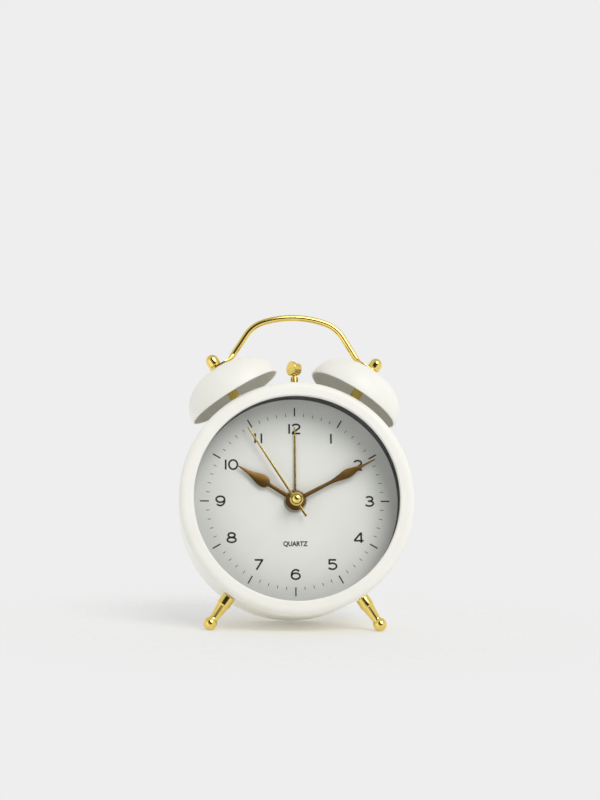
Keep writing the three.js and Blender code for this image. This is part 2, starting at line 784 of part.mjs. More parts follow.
function wheels() {
  const minutePhase = meshed(CANNON.pinion, 0, MINUTE.direction, MINUTE.wheel);
  const train = {
    rotor: [
      rotorAt,
      joined(
        gear(ROTOR.pinion, ROTOR.module, 23.8, 25, degrees(-90)),
        disc(1.6, 25, 27, 16),
        rod(0.35, 23.2, 27.8),
      ),
      steel,
    ],
    intermediate_wheel: [
      intermediateAt,
      joined(
        gear(
          INTERMEDIATE.wheel,
          ROTOR.module,
          24,
          24.8,
          meshed(ROTOR.pinion, degrees(-90), degrees(-90), INTERMEDIATE.wheel),
        ),
        gear(INTERMEDIATE.pinion, INTERMEDIATE.module, 21.3, 22.3, degrees(-50)),
        rod(0.5, 20.8, 26),
      ),
      gearPlastic,
    ],
    second_wheel: [
      [0, 0],
      joined(
        gear(
          SECOND.wheel,
          INTERMEDIATE.module,
          21.4,
          22.2,
          meshed(INTERMEDIATE.pinion, degrees(-50), degrees(-50), SECOND.wheel),
        ),
        gear(SECOND.pinion, SECOND.module, 22.2, 23.5, THIRD.direction),
        rod(ARBOR_RADIUS, HAND_CAP_PLACE + HAND_CAP_RADIUS, 25),
      ),
      gearPlastic,
    ],
    third_wheel: [
      thirdAt,
      joined(
        gear(
          THIRD.wheel,
          SECOND.module,
          22.6,
          23.4,
          meshed(SECOND.pinion, THIRD.direction, THIRD.direction, THIRD.wheel),
        ),
        gear(THIRD.pinion, THIRD.module, 19.9, 21, THIRD.direction + Math.PI),
        rod(0.5, 19.9, 25),
      ),
      gearPlastic,
    ],
    centre_wheel: [
      [0, 0],
      cut(
        gear(
          CENTRE.wheel,
          THIRD.module,
          20,
          20.8,
          meshed(THIRD.pinion, THIRD.direction + Math.PI, THIRD.direction + Math.PI, CENTRE.wheel),
        ),
        disc(MINUTE_TUBE[1] + GAP, 19, 22, 16),
      ),
      gearPlastic,
    ],
    cannon_pinion: [
      [0, 0],
      cut(
        joined(
          gear(CANNON.pinion, CANNON.module, 18.2, 19.6, MINUTE.direction),
          disc(MINUTE_TUBE[1], MINUTE_HAND_FRONT - 0.1, 21.1, 16),
        ),
        disc(MINUTE_TUBE[0], 5, 25, 12),
      ),
      steel,
    ],
    minute_wheel: [
      minuteAt,
      joined(
        gear(MINUTE.wheel, CANNON.module, 18.4, 19.4, minutePhase),
        gear(MINUTE.pinion, MINUTE.module, 16.7, 18.4, MINUTE.direction + Math.PI),
        rod(0.5, 16.7, 19.7),
      ),
      gearPlastic,
    ],
    hour_wheel: [
      [0, 0],
      cut(
        joined(
          gear(
            HOUR.wheel,
            MINUTE.module,
            16.8,
            17.8,
            meshed(MINUTE.pinion, Math.PI, Math.PI, HOUR.wheel),
          ),
          disc(HOUR_TUBE[1], HOUR_HAND_FRONT - 0.1, 17.8, 16),
        ),
        disc(HOUR_TUBE[0], 5, 25, 12),
      ),
      gearPlastic,
    ],
    alarm_wheel: [
      [0, 0],
      cut(
        joined(
          gear(ALARM.wheel, ALARM.module, 15.4, 16.4, ALARM_SETTER.direction),
          disc(ALARM_TUBE[1], ALARM_HAND_FRONT - 0.1, 16.4, 16),
        ),
        disc(ALARM_TUBE[0], 5, 25, 16),
      ),
      gearPlastic,
    ],
    time_setting_arbor: [
      timeSetterAt,
      joined(
        gear(
          TIME_SETTER.pinion,
          CANNON.module,
          18.4,
          19.4,
          meshed(MINUTE.wheel, minutePhase, TIME_SETTER.direction, TIME_SETTER.pinion),
        ),
        rod(SHAFT_RADIUS, 17.6, KNOB_BACK - 2),
      ),
      gearPlastic,
    ],
    alarm_setting_arbor: [
      alarmSetterAt,
      joined(
        gear(
          ALARM_SETTER.pinion,
          ALARM.module,
          15.4,
          16.4,
          meshed(ALARM.wheel, ALARM_SETTER.direction, ALARM_SETTER.direction, ALARM_SETTER.pinion),
        ),
        rod(SHAFT_RADIUS, 15.4, KNOB_BACK - 2),
      ),
      gearPlastic,
    ],
  };
  return Object.entries(train).map(([name, [[x, z], body, material]]) => {
    const mesh = piece(name, body, material);
    mesh.position.set(x, 0, z);
    return mesh;
  });
}

// The two halves of the movement's plastic box.
function movementBox() {
  const [side, low, high] = [MOVEMENT_HALF_WIDTH, MOVEMENT_LOW, MOVEMENT_HIGH];
  const wall = MOVEMENT_WALL;
  const shut = MOVEMENT_FRONT + wall;
  const frontPlate = cut(
    block([-side, MOVEMENT_FRONT, low], [side, shut, high]),
    disc(ALARM_TUBE[1] + GAP, 10, 20, 24),
  );
  const shell = cut(
    block([-side, shut + GAP, low], [side, MOVEMENT_BACK, high]),
    block([-side + wall, 10, low + wall], [side - wall, MOVEMENT_BACK - wall, high - wall]),
  );
  const bosses = SCREWS.map(([x, z]) => endways(2.4, 20, MOVEMENT_BACK - wall / 2, x, z));
  const holes = SCREWS.map(([x, z]) => endways(1.1 + GAP, 23, 40, x, z, 12));
  const rear = cut(
    joined(shell, ...bosses),
    ...holes,
    ...[timeSetterAt, alarmSetterAt].map(([x, z]) => endways(SHAFT_RADIUS + GAP, 20, 40, x, z)),
  );
  return [
    piece("movement_front_plate", frontPlate, whitePlastic),
    piece("movement_rear_case", rear, whitePlastic),
  ];
}

const SCREWS = [[-20.5, 21], [20.5, 21]];

// The stepping motor's coil and stator, and the board with its crystal.
function electrics() {
  const [x, z] = rotorAt;
  const coreHeight = 20;
  const statorPlate = cut(
    block([x - 10, 25.6, z - 3], [x + 10, 26.4, z + 3]),
    endways(2, 20, 30, x, z, 20),
  );
  const limbs = [-10, 8].map((left) =>
    block([x + left, 25.6, z + 2.5], [x + left + 2, 26.4, coreHeight + 1]),
  );
  const winding = cut(
    crossways(2.6, x - 7.4, x + 7.4, 24.6, coreHeight + 1.3),
    crossways(0.9, x - 9, x + 9, 24.6, coreHeight + 1.3, 12),
  );
  return [
    piece("stator", joined(statorPlate, ...limbs), steel),
    piece("drive_coil", winding, copper),
    piece("circuit_board", block([9, 26.6, 6.5], [22.6, 27.5, 17]), boardGreen),
    piece("quartz_crystal", crossways(1, 11, 17, 25.2, 15.2, 12), steel),
  ];
}

// ---- Back ----

// The back cover with its battery bay, its two shaft holes and the slot of the alarm switch.
function backCover() {
  const bay = { low: BATTERY_HEIGHT - BAY_HALF_HEIGHT, high: BATTERY_HEIGHT + BAY_HALF_HEIGHT };
  const bayFront = BATTERY_PLACE - BATTERY_RADIUS - 0.5 - BAY_WALL;
  const outer = block(
    [-BAY_HALF_WIDTH - BAY_WALL, bayFront, bay.low - BAY_WALL],
    [BAY_HALF_WIDTH + BAY_WALL, COVER_BACK, bay.high + BAY_WALL],
  );
  const hollow = block(
    [-BAY_HALF_WIDTH, bayFront + BAY_WALL, bay.low],
    [BAY_HALF_WIDTH, COVER_BACK + 1, bay.high],
  );
  const face = disc(INSIDE_RADIUS, COVER_FRONT, COVER_BACK, CASE_SIDES);
  return cut(
    joined(face, outer),
    hollow,
    ...[timeSetterAt, alarmSetterAt].map(([x, z]) => endways(SHAFT_RADIUS + 0.4, 30, 42, x, z)),
    ...SCREWS.map(([x, z]) => endways(1.1 + GAP, 30, 42, x, z, 12)),
    block([-SWITCH.slot, 30, SWITCH.height - 1.1], [SWITCH.slot, 42, SWITCH.height + 1.1]),
  );
}

const SWITCH = { height: 25, slot: 4.2, travel: 4 };

// A thumb piece outside the cover, on a tongue that runs through its slot.
function alarmSwitch() {
  const [left, right] = [-SWITCH.travel / 2 - 1.8, -SWITCH.travel / 2 + 1.8];
  return joined(
    block([left, COVER_BACK + GAP, SWITCH.height - 2], [right, COVER_BACK + 2.6, SWITCH.height + 2]),
    block([left, 34, SWITCH.height - 0.8], [right, COVER_BACK + 1, SWITCH.height + 0.8]),
  );
}

function knob(name, [x, z]) {
  const front = COVER_BACK + 1;
  const body = cut(
    turned(
      [
        [0, front],
        [KNOB_RADIUS - 0.6, front],
        [KNOB_RADIUS, front + 0.8],
        [KNOB_RADIUS - 0.3, KNOB_BACK - 0.8],
        [KNOB_RADIUS - 1.1, KNOB_BACK],
        [0, KNOB_BACK],
      ],
      18,
    ),
    disc(SHAFT_RADIUS + GAP, front - 1, KNOB_BACK - 1.7, 12),
  );
  const mesh = piece(name, body, whitePlastic);
  mesh.position.set(x, 0, z);
  return mesh;
}

// Screws that hold the cover to the movement.
function coverScrews() {
  return SCREWS.map(([x, z], i) => {
    const body = turned(
      [
        [0, 24],
        [1.1, 24],
        [1.1, COVER_BACK + GAP],
        [2.2, COVER_BACK + GAP],
        [2.2, COVER_BACK + 1],
        [1.4, COVER_BACK + 1.6],
        [0, COVER_BACK + 1.6],
      ],
      10,
    );
    const slot = block([-3, COVER_BACK + 1, -0.3], [3, COVER_BACK + 3, 0.3]);
    const mesh = piece("cover_screw_" + Object.keys(SIDES)[i], cut(body, slot), steel);
    mesh.position.set(x, 0, z);
    return mesh;
  });
}

// The lid over the battery bay: it hangs on its round lower edge and has a finger dip on top.
function batteryDoor() {
  const side = BAY_HALF_WIDTH - GAP;
  const [low, high] = [BATTERY_HEIGHT - BAY_HALF_HEIGHT, BATTERY_HEIGHT + BAY_HALF_HEIGHT];
  const thickness = 1.4;
  const y = COVER_BACK - thickness / 2;
  const lid = block([-side, COVER_BACK - thickness, low + 1.1], [side, COVER_BACK, high - GAP]);
  const edge = crossways(thickness / 2, -side, side, y, low + 1.1, 12);
  const dip = crossways(1.6, -5, 5, COVER_BACK + 0.7, high - 2.4, 12);
  return cut(joined(lid, edge), dip);
}

function helix(radius, wire, turns, pitch) {
  const [steps, sides] = [Math.round(9 * turns), 5];
  const vertices = [];
  for (let i = 0; i <= steps; i++) {
    const around = (2 * Math.PI * turns * i) / steps;
    for (let k = 0; k < sides; k++) {
      const section = (2 * Math.PI * k) / sides;
      const r = radius + wire * Math.cos(section);
      const x = (pitch * turns * i) / steps + wire * Math.sin(section);
      vertices.push(new THREE.Vector3(x, r * Math.cos(around), r * Math.sin(around)));
    }
  }
  const faces = [];
  for (let i = 0; i < steps; i++) {
    for (let k = 0; k < sides; k++) {
      const [a, b] = [i * sides + k, i * sides + ((k + 1) % sides)];
      faces.push(a, b + sides, b, a, a + sides, b + sides);
    }
  }
  for (let k = 1; k < sides - 1; k++) {
    faces.push(0, k, k + 1, steps * sides, steps * sides + k + 1, steps * sides + k);
  }
  return solid(new THREE.BufferGeometry().setFromPoints(vertices).setIndex(faces));
}

function battery() {
  const [y, z] = [BATTERY_PLACE, BATTERY_HEIGHT];
  const half = BATTERY_LENGTH / 2;
  const cell = joined(
    crossways(BATTERY_RADIUS, -half, half, y, z, 24),
    crossways(2.7, half - 1, half + 1.3, y, z, 14),
  );
  const plus = block([half + 1.7, y - 5, z - 5], [half + 2.3, y + 5, z + 5]);
  const strip = block([-half - 3.4, y - 5, z - 5], [-half - 2.8, y + 5, z + 5]);
  const spring = geometryOf(helix(3.2, 0.3, 2.5, 0.85)).translate(-half - 2.95, y, z);
  return [
    piece("battery", cell, batteryWrap),
    piece("battery_contact_plus", plus, steel),
    piece("battery_contact_minus", joined(strip, solid(spring)), steel),
  ];
}

function back() {
  return [
    piece("back_cover", backCover(), whitePlastic),
    piece("battery_door", batteryDoor(), whitePlastic),
    ...battery(),
    piece("alarm_switch", alarmSwitch(), whitePlastic),
    knob("time_knob", timeSetterAt),
    knob("alarm_knob", alarmSetterAt),
    ...coverScrews(),
  ];
}

// ---- The whole clock ----

const leaning = new THREE.Group();
leaning.rotation.x = -LEAN;
leaning.add(
  ...front(),
  ...bells(),
  handle(),
  ...legs(),
  hammerParts(),
  ...hands(),
  ...wheels(),
  ...movementBox(),
  ...electrics(),
  ...back(),
);

// It stands on z = 0, with the origin under the middle of its box.
const box = new THREE.Box3().setFromObject(leaning, true);
const middle = box.getCenter(new THREE.Vector3());
leaning.position.set(-middle.x, -middle.y, -box.min.z);

const alarmClock = new THREE.Group();
alarmClock.add(leaning);

export default alarmClock;
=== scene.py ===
"""The looks of a twin-bell quartz alarm clock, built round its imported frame.

Every piece is drawn in millimetres in the clock's own frame: the origin is the middle of the
front opening, x runs to the right, y runs into the case and z runs up the dial. CLOCK takes
that frame, which leans back, to the row frame in metres.
"""

import json
import math

import bmesh
import bpy
from mathutils import Matrix, Vector


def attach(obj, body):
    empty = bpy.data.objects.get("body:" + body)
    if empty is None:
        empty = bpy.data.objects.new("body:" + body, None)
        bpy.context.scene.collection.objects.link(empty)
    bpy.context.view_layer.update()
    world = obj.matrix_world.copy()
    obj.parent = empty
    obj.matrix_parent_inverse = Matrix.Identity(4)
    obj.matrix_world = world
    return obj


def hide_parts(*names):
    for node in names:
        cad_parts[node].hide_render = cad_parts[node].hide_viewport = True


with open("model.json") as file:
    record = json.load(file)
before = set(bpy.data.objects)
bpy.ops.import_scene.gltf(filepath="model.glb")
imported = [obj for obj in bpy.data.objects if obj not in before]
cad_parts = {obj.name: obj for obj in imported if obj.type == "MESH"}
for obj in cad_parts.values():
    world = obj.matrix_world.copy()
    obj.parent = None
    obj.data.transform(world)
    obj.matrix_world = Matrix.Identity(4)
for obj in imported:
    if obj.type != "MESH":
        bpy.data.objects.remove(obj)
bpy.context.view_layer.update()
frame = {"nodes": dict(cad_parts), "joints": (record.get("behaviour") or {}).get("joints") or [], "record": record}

# ---- The clock's frame ----

MM = 0.001
hinges = {joint["name"]: joint for joint in frame["joints"]}
INTO = Vector(hinges["second_hand_turn"]["axis"]).normalized()
RIGHT = Vector((1, 0, 0))
BASIS = Matrix((RIGHT, INTO, RIGHT.cross(INTO))).transposed().to_4x4()
CLOCK = Matrix.Translation(hinges["second_hand_turn"]["pos_m"]) @ BASIS @ Matrix.Scale(MM, 4)

TURN_IN = Matrix.Rotation(-math.pi / 2, 4, "X")  # a lathe's axis, z, to the clock's y
FACING = Matrix.Rotation(math.pi / 2, 4, "X")  # a drawing in x and y to the dial's plane

SIDES = {"left": -1, "right": 1}

# ---- Driving dimensions, in millimetres ----

CASE_RADIUS = 44.2
CASE_DEPTH = 38.6
CASE_WALL = 0.9
CASE_SLOT = (4.64, 2.2)  # half length and half width of the slot that the hammer's stem swings in
THROUGH_CASE = (40, 48)  # distances from the case axis between which a cutter goes through the barrel
CLEARANCE = 0.3  # round what goes through a hole, and between stacked pieces
OPENING_RADIUS = 38.7
BEZEL_ROUND = 3.9
INSIDE_RADIUS = 43.0
LENS_RADIUS = 41.4
LENS_FRONT = 2.2
LENS_BACK = 3.6
GASKET_BORE = 39.1
GASKET_FRONT = 3.9
GASKET_BACK = 5.4
RING_BORE = 39.4
RING_RADIUS = 40.6
RING_FRONT = 5.7
RING_BACK = 12.2
DIAL_FRONT = 12.5
DIAL_THICKNESS = 0.6
DIAL_BORE = 4.3
DIAL_TURN = math.radians(-0.66)  # the dial sits a little askew in its case

BELL_LEAN = math.radians(32.4)
BELL_INSET = 2.6
BELL_PLACE = 18.5
BELL_RIM = 46.9  # from the case axis to the rim's plane
BELL_RADIUS = 19.1
BELL_HEIGHT = 13.5
BELL_WALL = 0.8
BELL_FULLNESS = 2.2
STUD_RADIUS = 1.3
POST_RADIUS = 2.1
BELL_CROWN = BELL_RIM + BELL_HEIGHT

WIRE_RADIUS = 1.22
HANDLE_TOP = 73.5
HANDLE_ARC = 38
HANDLE_BEND = 13
HANDLE_SLOPE = math.radians(32)
TAB_REACH = 6.2
TAB_WIDTH = 5.6
TAB_THICKNESS = 0.8
TAB_LOW = BELL_CROWN + 0.15
TAB_HIGH = TAB_LOW + TAB_THICKNESS
NUT_RADIUS = 2.5
WIRE_SIDES = 28
WIRE_STEP = 0.45  # the longest piece of the wire's middle line
FLATTENING = (2.4, 5.0)  # how far before TAB_REACH the wire starts to flatten, and over what length

LEG_ANGLE = math.radians(34.2)
LEG_PLACE = 9
LEG_BALL = 56.6
LEG_BALL_RADIUS = 2.6

HEAD_HEIGHT = 53
HEAD_TURN = math.radians(-58)
HEAD_FACE = 2.88  # a little under the CAD head, so that it clears the round bells at each limit
HEAD_BODY = 2.5
STEM_RADIUS = 1.5
STEM_TIP = 0.8
WINDING_TURNS = 14
WINDING_LENGTH = 5.4
WINDING_AT = (9.3, 0, 36.2)

COVER_FRONT = 36.4
COVER_BACK = 38.0
BAY_HALF_WIDTH = 28.7
BAY_HALF_HEIGHT = 8
BAY_WALL = 1
BATTERY_HEIGHT = -22
BATTERY_PLACE = 29.2
BATTERY_RADIUS = 7.1
SWITCH_HEIGHT = 25
KNOB_RADIUS = 5.4
KNOB_BACK = 46.5
SHAFT_RADIUS = 0.9
FLUTES = 24
SCREW_AT = (20.5, 21)

# ---- Materials ----


def node(tree, kind, **values):
    """A new shader node with these properties, or input values."""
    made = tree.nodes.new(kind)
    for key, value in values.items():
        if hasattr(made, key):
            setattr(made, key, value)
        else:
            made.inputs[key.replace("_", " ")].default_value = value
    return made


def noise(tree, place, size_mm, detail=3.0, stretch=(1, 1, 1)):
    """Noise with features of about this size, in millimetres."""
    mapping = node(tree, "ShaderNodeMapping")
    mapping.inputs["Scale"].default_value = stretch
    tree.links.new(place.outputs["Object"], mapping.inputs["Vector"])
    made = node(tree, "ShaderNodeTexNoise", Scale=1 / (size_mm * MM), Detail=detail)
    tree.links.new(mapping.outputs["Vector"], made.inputs["Vector"])
    return made


def remapped(tree, value, span, to, smooth=False):
    """This value, taken from one span to another."""
    kind = "SMOOTHSTEP" if smooth else "LINEAR"
    made = node(tree, "ShaderNodeMapRange", interpolation_type=kind)
    for key, number in zip(("From Min", "From Max", "To Min", "To Max"), (*span, *to)):
        made.inputs[key].default_value = number
    tree.links.new(value, made.inputs["Value"])
    return made.outputs["Result"]


def surface(name, tones, roughness, metallic=0.0, mottle=6.0, grain=0.4, relief=0.02,
            stretch=(1, 1, 1)):
    """A finish whose colour drifts between two tones and whose roughness and relief are noisy.

    roughness is (lowest, highest); mottle and grain are feature sizes and relief is a depth, in
    millimetres.
    """
    made = bpy.data.materials.new(name)
    made.use_nodes = True
    tree = made.node_tree
    shader = tree.nodes["Principled BSDF"]
    shader.inputs["Metallic"].default_value = metallic
    place = node(tree, "ShaderNodeTexCoord")
    drift = noise(tree, place, mottle, stretch=stretch)
    ramp = node(tree, "ShaderNodeValToRGB")
    for stop, position, tone in zip(ramp.color_ramp.elements, (0.3, 0.7), tones):
        stop.position = position
        stop.color = (*tone, 1)
    tree.links.new(drift.outputs["Fac"], ramp.inputs["Fac"])
    tree.links.new(ramp.outputs["Color"], shader.inputs["Base Color"])
    fine = noise(tree, place, grain, detail=4.0, stretch=stretch)
    tree.links.new(remapped(tree, fine.outputs["Fac"], (0, 1), roughness), shader.inputs["Roughness"])
    bump = node(tree, "ShaderNodeBump", Strength=1.0, Distance=relief * MM)
    tree.links.new(fine.outputs["Fac"], bump.inputs["Height"])
    tree.links.new(bump.outputs["Normal"], shader.inputs["Normal"])
    return made


def clear_glass():
    """Thin clear glass: it lets light straight through and reflects at a slant."""
    made = bpy.data.materials.new("clear_glass")
    made.use_nodes = True
    tree = made.node_tree
    tree.nodes.clear()
    place = node(tree, "ShaderNodeTexCoord")
    smear = noise(tree, place, 9.0)
    spread = remapped(tree, smear.outputs["Fac"], (0, 1), (0.015, 0.04))
    through = node(tree, "ShaderNodeBsdfTransparent", Color=(0.985, 0.99, 0.985, 1))
    gloss = node(tree, "ShaderNodeBsdfAnisotropic", Color=(1, 1, 1, 1))
    tree.links.new(spread, gloss.inputs["Roughness"])
    slant = node(tree, "ShaderNodeFresnel", IOR=1.2)
    entering = node(tree, "ShaderNodeMath", operation="SUBTRACT")
    entering.inputs[0].default_value = 1.0
    sides = node(tree, "ShaderNodeNewGeometry")
    share = node(tree, "ShaderNodeMath", operation="MULTIPLY")
    tree.links.new(sides.outputs["Backfacing"], entering.inputs[1])
    tree.links.new(slant.outputs["Fac"], share.inputs[0])
    tree.links.new(entering.outputs["Value"], share.inputs[1])
    mix = node(tree, "ShaderNodeMixShader")
    out = node(tree, "ShaderNodeOutputMaterial")
    tree.links.new(share.outputs["Value"], mix.inputs["Fac"])
    tree.links.new(through.outputs["BSDF"], mix.inputs[1])
    tree.links.new(gloss.outputs["BSDF"], mix.inputs[2])
    tree.links.new(mix.outputs["Shader"], out.inputs["Surface"])
    return made


FINISHES = {
    "white_paint": surface("white_paint", [(0.835, 0.83, 0.785), (0.86, 0.855, 0.815)],
                           (0.40, 0.52), mottle=9, grain=0.7, relief=0.012),
    "gold_brass": surface("gold_brass", [(0.82, 0.62, 0.17), (0.88, 0.68, 0.21)],
                          (0.07, 0.14), metallic=1.0, mottle=4, grain=3.0, relief=0.002),
    # painted dark reflection: the hour and minute hands' brass is given a dark brown colour, far darker than the
    # gold brass, for the dark room that it reflects
    "hand_brass": surface("hand_brass", [(0.19, 0.105, 0.03), (0.24, 0.14, 0.045)],
                          (0.3, 0.4), metallic=1.0, mottle=3, grain=0.8, relief=0.001),
    # painted dark reflection, less deep: the thin hands' brass is also given a colour darker than the gold brass
    "slim_brass": surface("slim_brass", [(0.50, 0.35, 0.10), (0.56, 0.40, 0.13)],
                          (0.22, 0.32), metallic=1.0, mottle=3, grain=0.8, relief=0.001),
    "clear_lens": clear_glass(),
    "black_plastic": surface("black_plastic", [(0.012, 0.012, 0.012), (0.02, 0.02, 0.019)],
                             (0.45, 0.6), mottle=5, grain=0.3, relief=0.01),
    "dial_ink": surface("dial_ink", [(0.014, 0.014, 0.014), (0.022, 0.022, 0.022)],
                        (0.6, 0.75), mottle=1.5, grain=0.15, relief=0.003),
    "grey_rubber": surface("grey_rubber", [(0.022, 0.022, 0.022), (0.03, 0.03, 0.03)],
                           (0.7, 0.85), mottle=3, grain=0.25, relief=0.02),
    "dial_print": surface("dial_print", [(0.81, 0.815, 0.80), (0.84, 0.84, 0.825)],
                          (0.62, 0.78), mottle=7, grain=0.2, relief=0.004),
    "white_plastic": surface("white_plastic", [(0.78, 0.775, 0.74), (0.82, 0.815, 0.78)],
                             (0.38, 0.52), mottle=8, grain=0.35, relief=0.02),
    "gear_plastic": surface("gear_plastic", [(0.78, 0.72, 0.55), (0.83, 0.78, 0.62)],
                            (0.35, 0.5), mottle=3, grain=0.3, relief=0.008),
    "plain_steel": surface("plain_steel", [(0.50, 0.51, 0.53), (0.60, 0.61, 0.62)],
                           (0.24, 0.4), metallic=1.0, mottle=3, grain=0.2, relief=0.004,
                           stretch=(1, 6, 1)),
    "copper_wire": surface("copper_wire", [(0.55, 0.22, 0.09), (0.66, 0.30, 0.13)],
                           (0.25, 0.38), metallic=1.0, mottle=1, grain=0.12, relief=0.03,
                           stretch=(8, 1, 1)),
    "board_green": surface("board_green", [(0.02, 0.10, 0.04), (0.03, 0.14, 0.06)],
                           (0.35, 0.5), mottle=2, grain=0.3, relief=0.01),
    "battery_wrap": surface("battery_wrap", [(0.03, 0.033, 0.04), (0.05, 0.055, 0.06)],
                            (0.2, 0.32), mottle=8, grain=0.6, relief=0.004),
}

# ---- Meshes ----


def rounded(corners, closed=True, step=math.radians(11)):
    """The outline through these (a, b, radius) corners, with an arc wherever a radius is given."""
    outline = []
    for i, (a, b, *rest) in enumerate(corners):
        radius = rest[0] if rest else 0
        if not radius or (not closed and i in (0, len(corners) - 1)):
            outline.append((a, b))
            continue
        corner = Vector((a, b))
        back = Vector(corners[i - 1][:2]) - corner
        ahead = Vector(corners[(i + 1) % len(corners)][:2]) - corner
        half = back.angle(ahead) / 2
        reach = min(radius / math.tan(half), 0.495 * back.length, 0.495 * ahead.length)
        bisector = (back.normalized() + ahead.normalized()).normalized()
        centre = corner + bisector * (reach / math.cos(half))
        start = corner + back.normalized() * reach - centre
        end = corner + ahead.normalized() * reach - centre
        first = math.atan2(start.y, start.x)
        sweep = (math.atan2(end.y, end.x) - first + math.pi) % (2 * math.pi) - math.pi
        steps = max(2, math.ceil(abs(sweep) / step))
        for k in range(steps + 1):
            angle = first + sweep * k / steps
            outline.append((centre.x + start.length * math.cos(angle),
                            centre.y + start.length * math.sin(angle)))
    return outline


def arc(centre, radius, first, last, steps):
    """Points on an arc, from one angle to another, in degrees."""
    angles = [math.radians(first + (last - first) * k / steps) for k in range(steps + 1)]
    return [(centre[0] + radius * math.cos(t), centre[1] + radius * math.sin(t)) for t in angles]


def lathe(outline, sides=128, flute=None):
    """A body turned about z from (radius, height) points. flute(angle, radius) may change a radius."""
    body = bmesh.new()
    rings = []
    for radius, height in outline:
        if radius < 1e-5:
            rings.append([body.verts.new((0, 0, height))])
            continue
        ring = []
        for i in range(sides):
            angle = 2 * math.pi * i / sides
            r = flute(angle, radius) if flute else radius
            ring.append(body.verts.new((r * math.cos(angle), r * math.sin(angle), height)))
        rings.append(ring)
    ends = [] if outline[0][0] < 1e-5 else [(rings[-1], rings[0])]
    for low, high in [*zip(rings, rings[1:]), *ends]:
        for i in range(sides):
            j = (i + 1) % sides
            around = [low[i % len(low)], low[j % len(low)], high[j % len(high)], high[i % len(high)]]
            corners = list(dict.fromkeys(around))
            if len(corners) > 2:
                body.faces.new(corners)
    bmesh.ops.recalc_face_normals(body, faces=body.faces)
    return body


def slab(outline, low, high, bevel=0.0):
    """A plate of this outline from z = low to z = high, with chamfered edges."""
    body = bmesh.new()
    base = body.faces.new([body.verts.new((x, y, low)) for x, y in outline])
    lifted = bmesh.ops.extrude_face_region(body, geom=[base])["geom"]
    top = [v for v in lifted if isinstance(v, bmesh.types.BMVert)]
    bmesh.ops.translate(body, verts=top, vec=(0, 0, high - low))
    bmesh.ops.recalc_face_normals(body, faces=body.faces)
    if bevel:
        rims = [e for e in body.edges if abs(e.verts[0].co.z - e.verts[1].co.z) < 1e-6]
        bmesh.ops.bevel(body, geom=rims, offset=bevel, segments=3, profile=0.5, affect="EDGES")
    return body


def box(low, high, bevel=0.2):
    """A block between two corners, with rounded edges."""
    body = bmesh.new()
    bmesh.ops.create_cube(body, size=1)
    size = [b - a for a, b in zip(low, high)]
    middle = [(a + b) / 2 for a, b in zip(low, high)]
    bmesh.ops.transform(
        body, matrix=Matrix.Translation(middle) @ Matrix.Diagonal((*size, 1)), verts=body.verts)
    if bevel:
        bmesh.ops.bevel(body, geom=list(body.edges), offset=bevel, segments=3, profile=0.5,
                        affect="EDGES")
    return body


def together(*bodies):
    """One body of these, each given as a body or as (body, matrix)."""
    whole = bmesh.new()
    for part in bodies:
        body, place = part if isinstance(part, tuple) else (part, Matrix.Identity(4))
        loose = bpy.data.meshes.new("loose")
        body.transform(place)
        body.to_mesh(loose)
        body.free()
        whole.from_mesh(loose)
        bpy.data.meshes.remove(loose)
    return whole


def shown(name, body, place=Matrix.Identity(4)):
    """An object of this body, with its place in its mesh, in metres."""
    body.transform(CLOCK @ place)
    mesh = bpy.data.meshes.new(name)
    body.to_mesh(mesh)
    body.free()
    made = bpy.data.objects.new(name, mesh)
    bpy.context.scene.collection.objects.link(made)
    return made


def carved(made, *cutters, operation="DIFFERENCE"):
    """Cuts these objects out of a piece, and removes them."""
    for cutter in cutters:
        change = made.modifiers.new("cut", "BOOLEAN")
        change.object = cutter
        change.operation = operation
        change.solver = "EXACT"
        bpy.context.view_layer.update()
        result = bpy.data.meshes.new_from_object(
            made.evaluated_get(bpy.context.evaluated_depsgraph_get()))
        made.modifiers.clear()
        made.data = result
        bpy.data.objects.remove(cutter)
    return made


def dressed(made, finish, body, replaces=(), sharp=38):
    """Gives a piece its finish and shading, and the body that it rides on."""
    made.data.materials.clear()
    made.data.materials.append(FINISHES[finish])
    made.data.shade_smooth()
    made.data.set_sharp_from_angle(angle=math.radians(sharp))
    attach(made, body)
    if replaces:
        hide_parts(*replaces)
    return made


def cylinder(radius, low, high, sides=48):
    """A plain rod about z, for cutting bores."""
    return lathe([(0, low), (radius, low), (radius, high), (0, high)], sides)


def at_bell(sign):
    """The bell's own frame on that side: z is its axis, from the case's axis outwards."""
    turn = Matrix.Rotation(sign * BELL_LEAN, 4, "Y")
    return (Matrix.Translation((0, BELL_PLACE, 0)) @ turn
            @ Matrix.Translation((-sign * BELL_INSET, 0, 0)))


def at_leg(sign):
    """The leg's own frame on that side: z is its axis, from the case's axis outwards."""
    turn = Matrix.Rotation(math.pi - sign * LEG_ANGLE, 4, "Y")
    return Matrix.Translation((0, LEG_PLACE, 0)) @ turn


# ---- Case and front ----


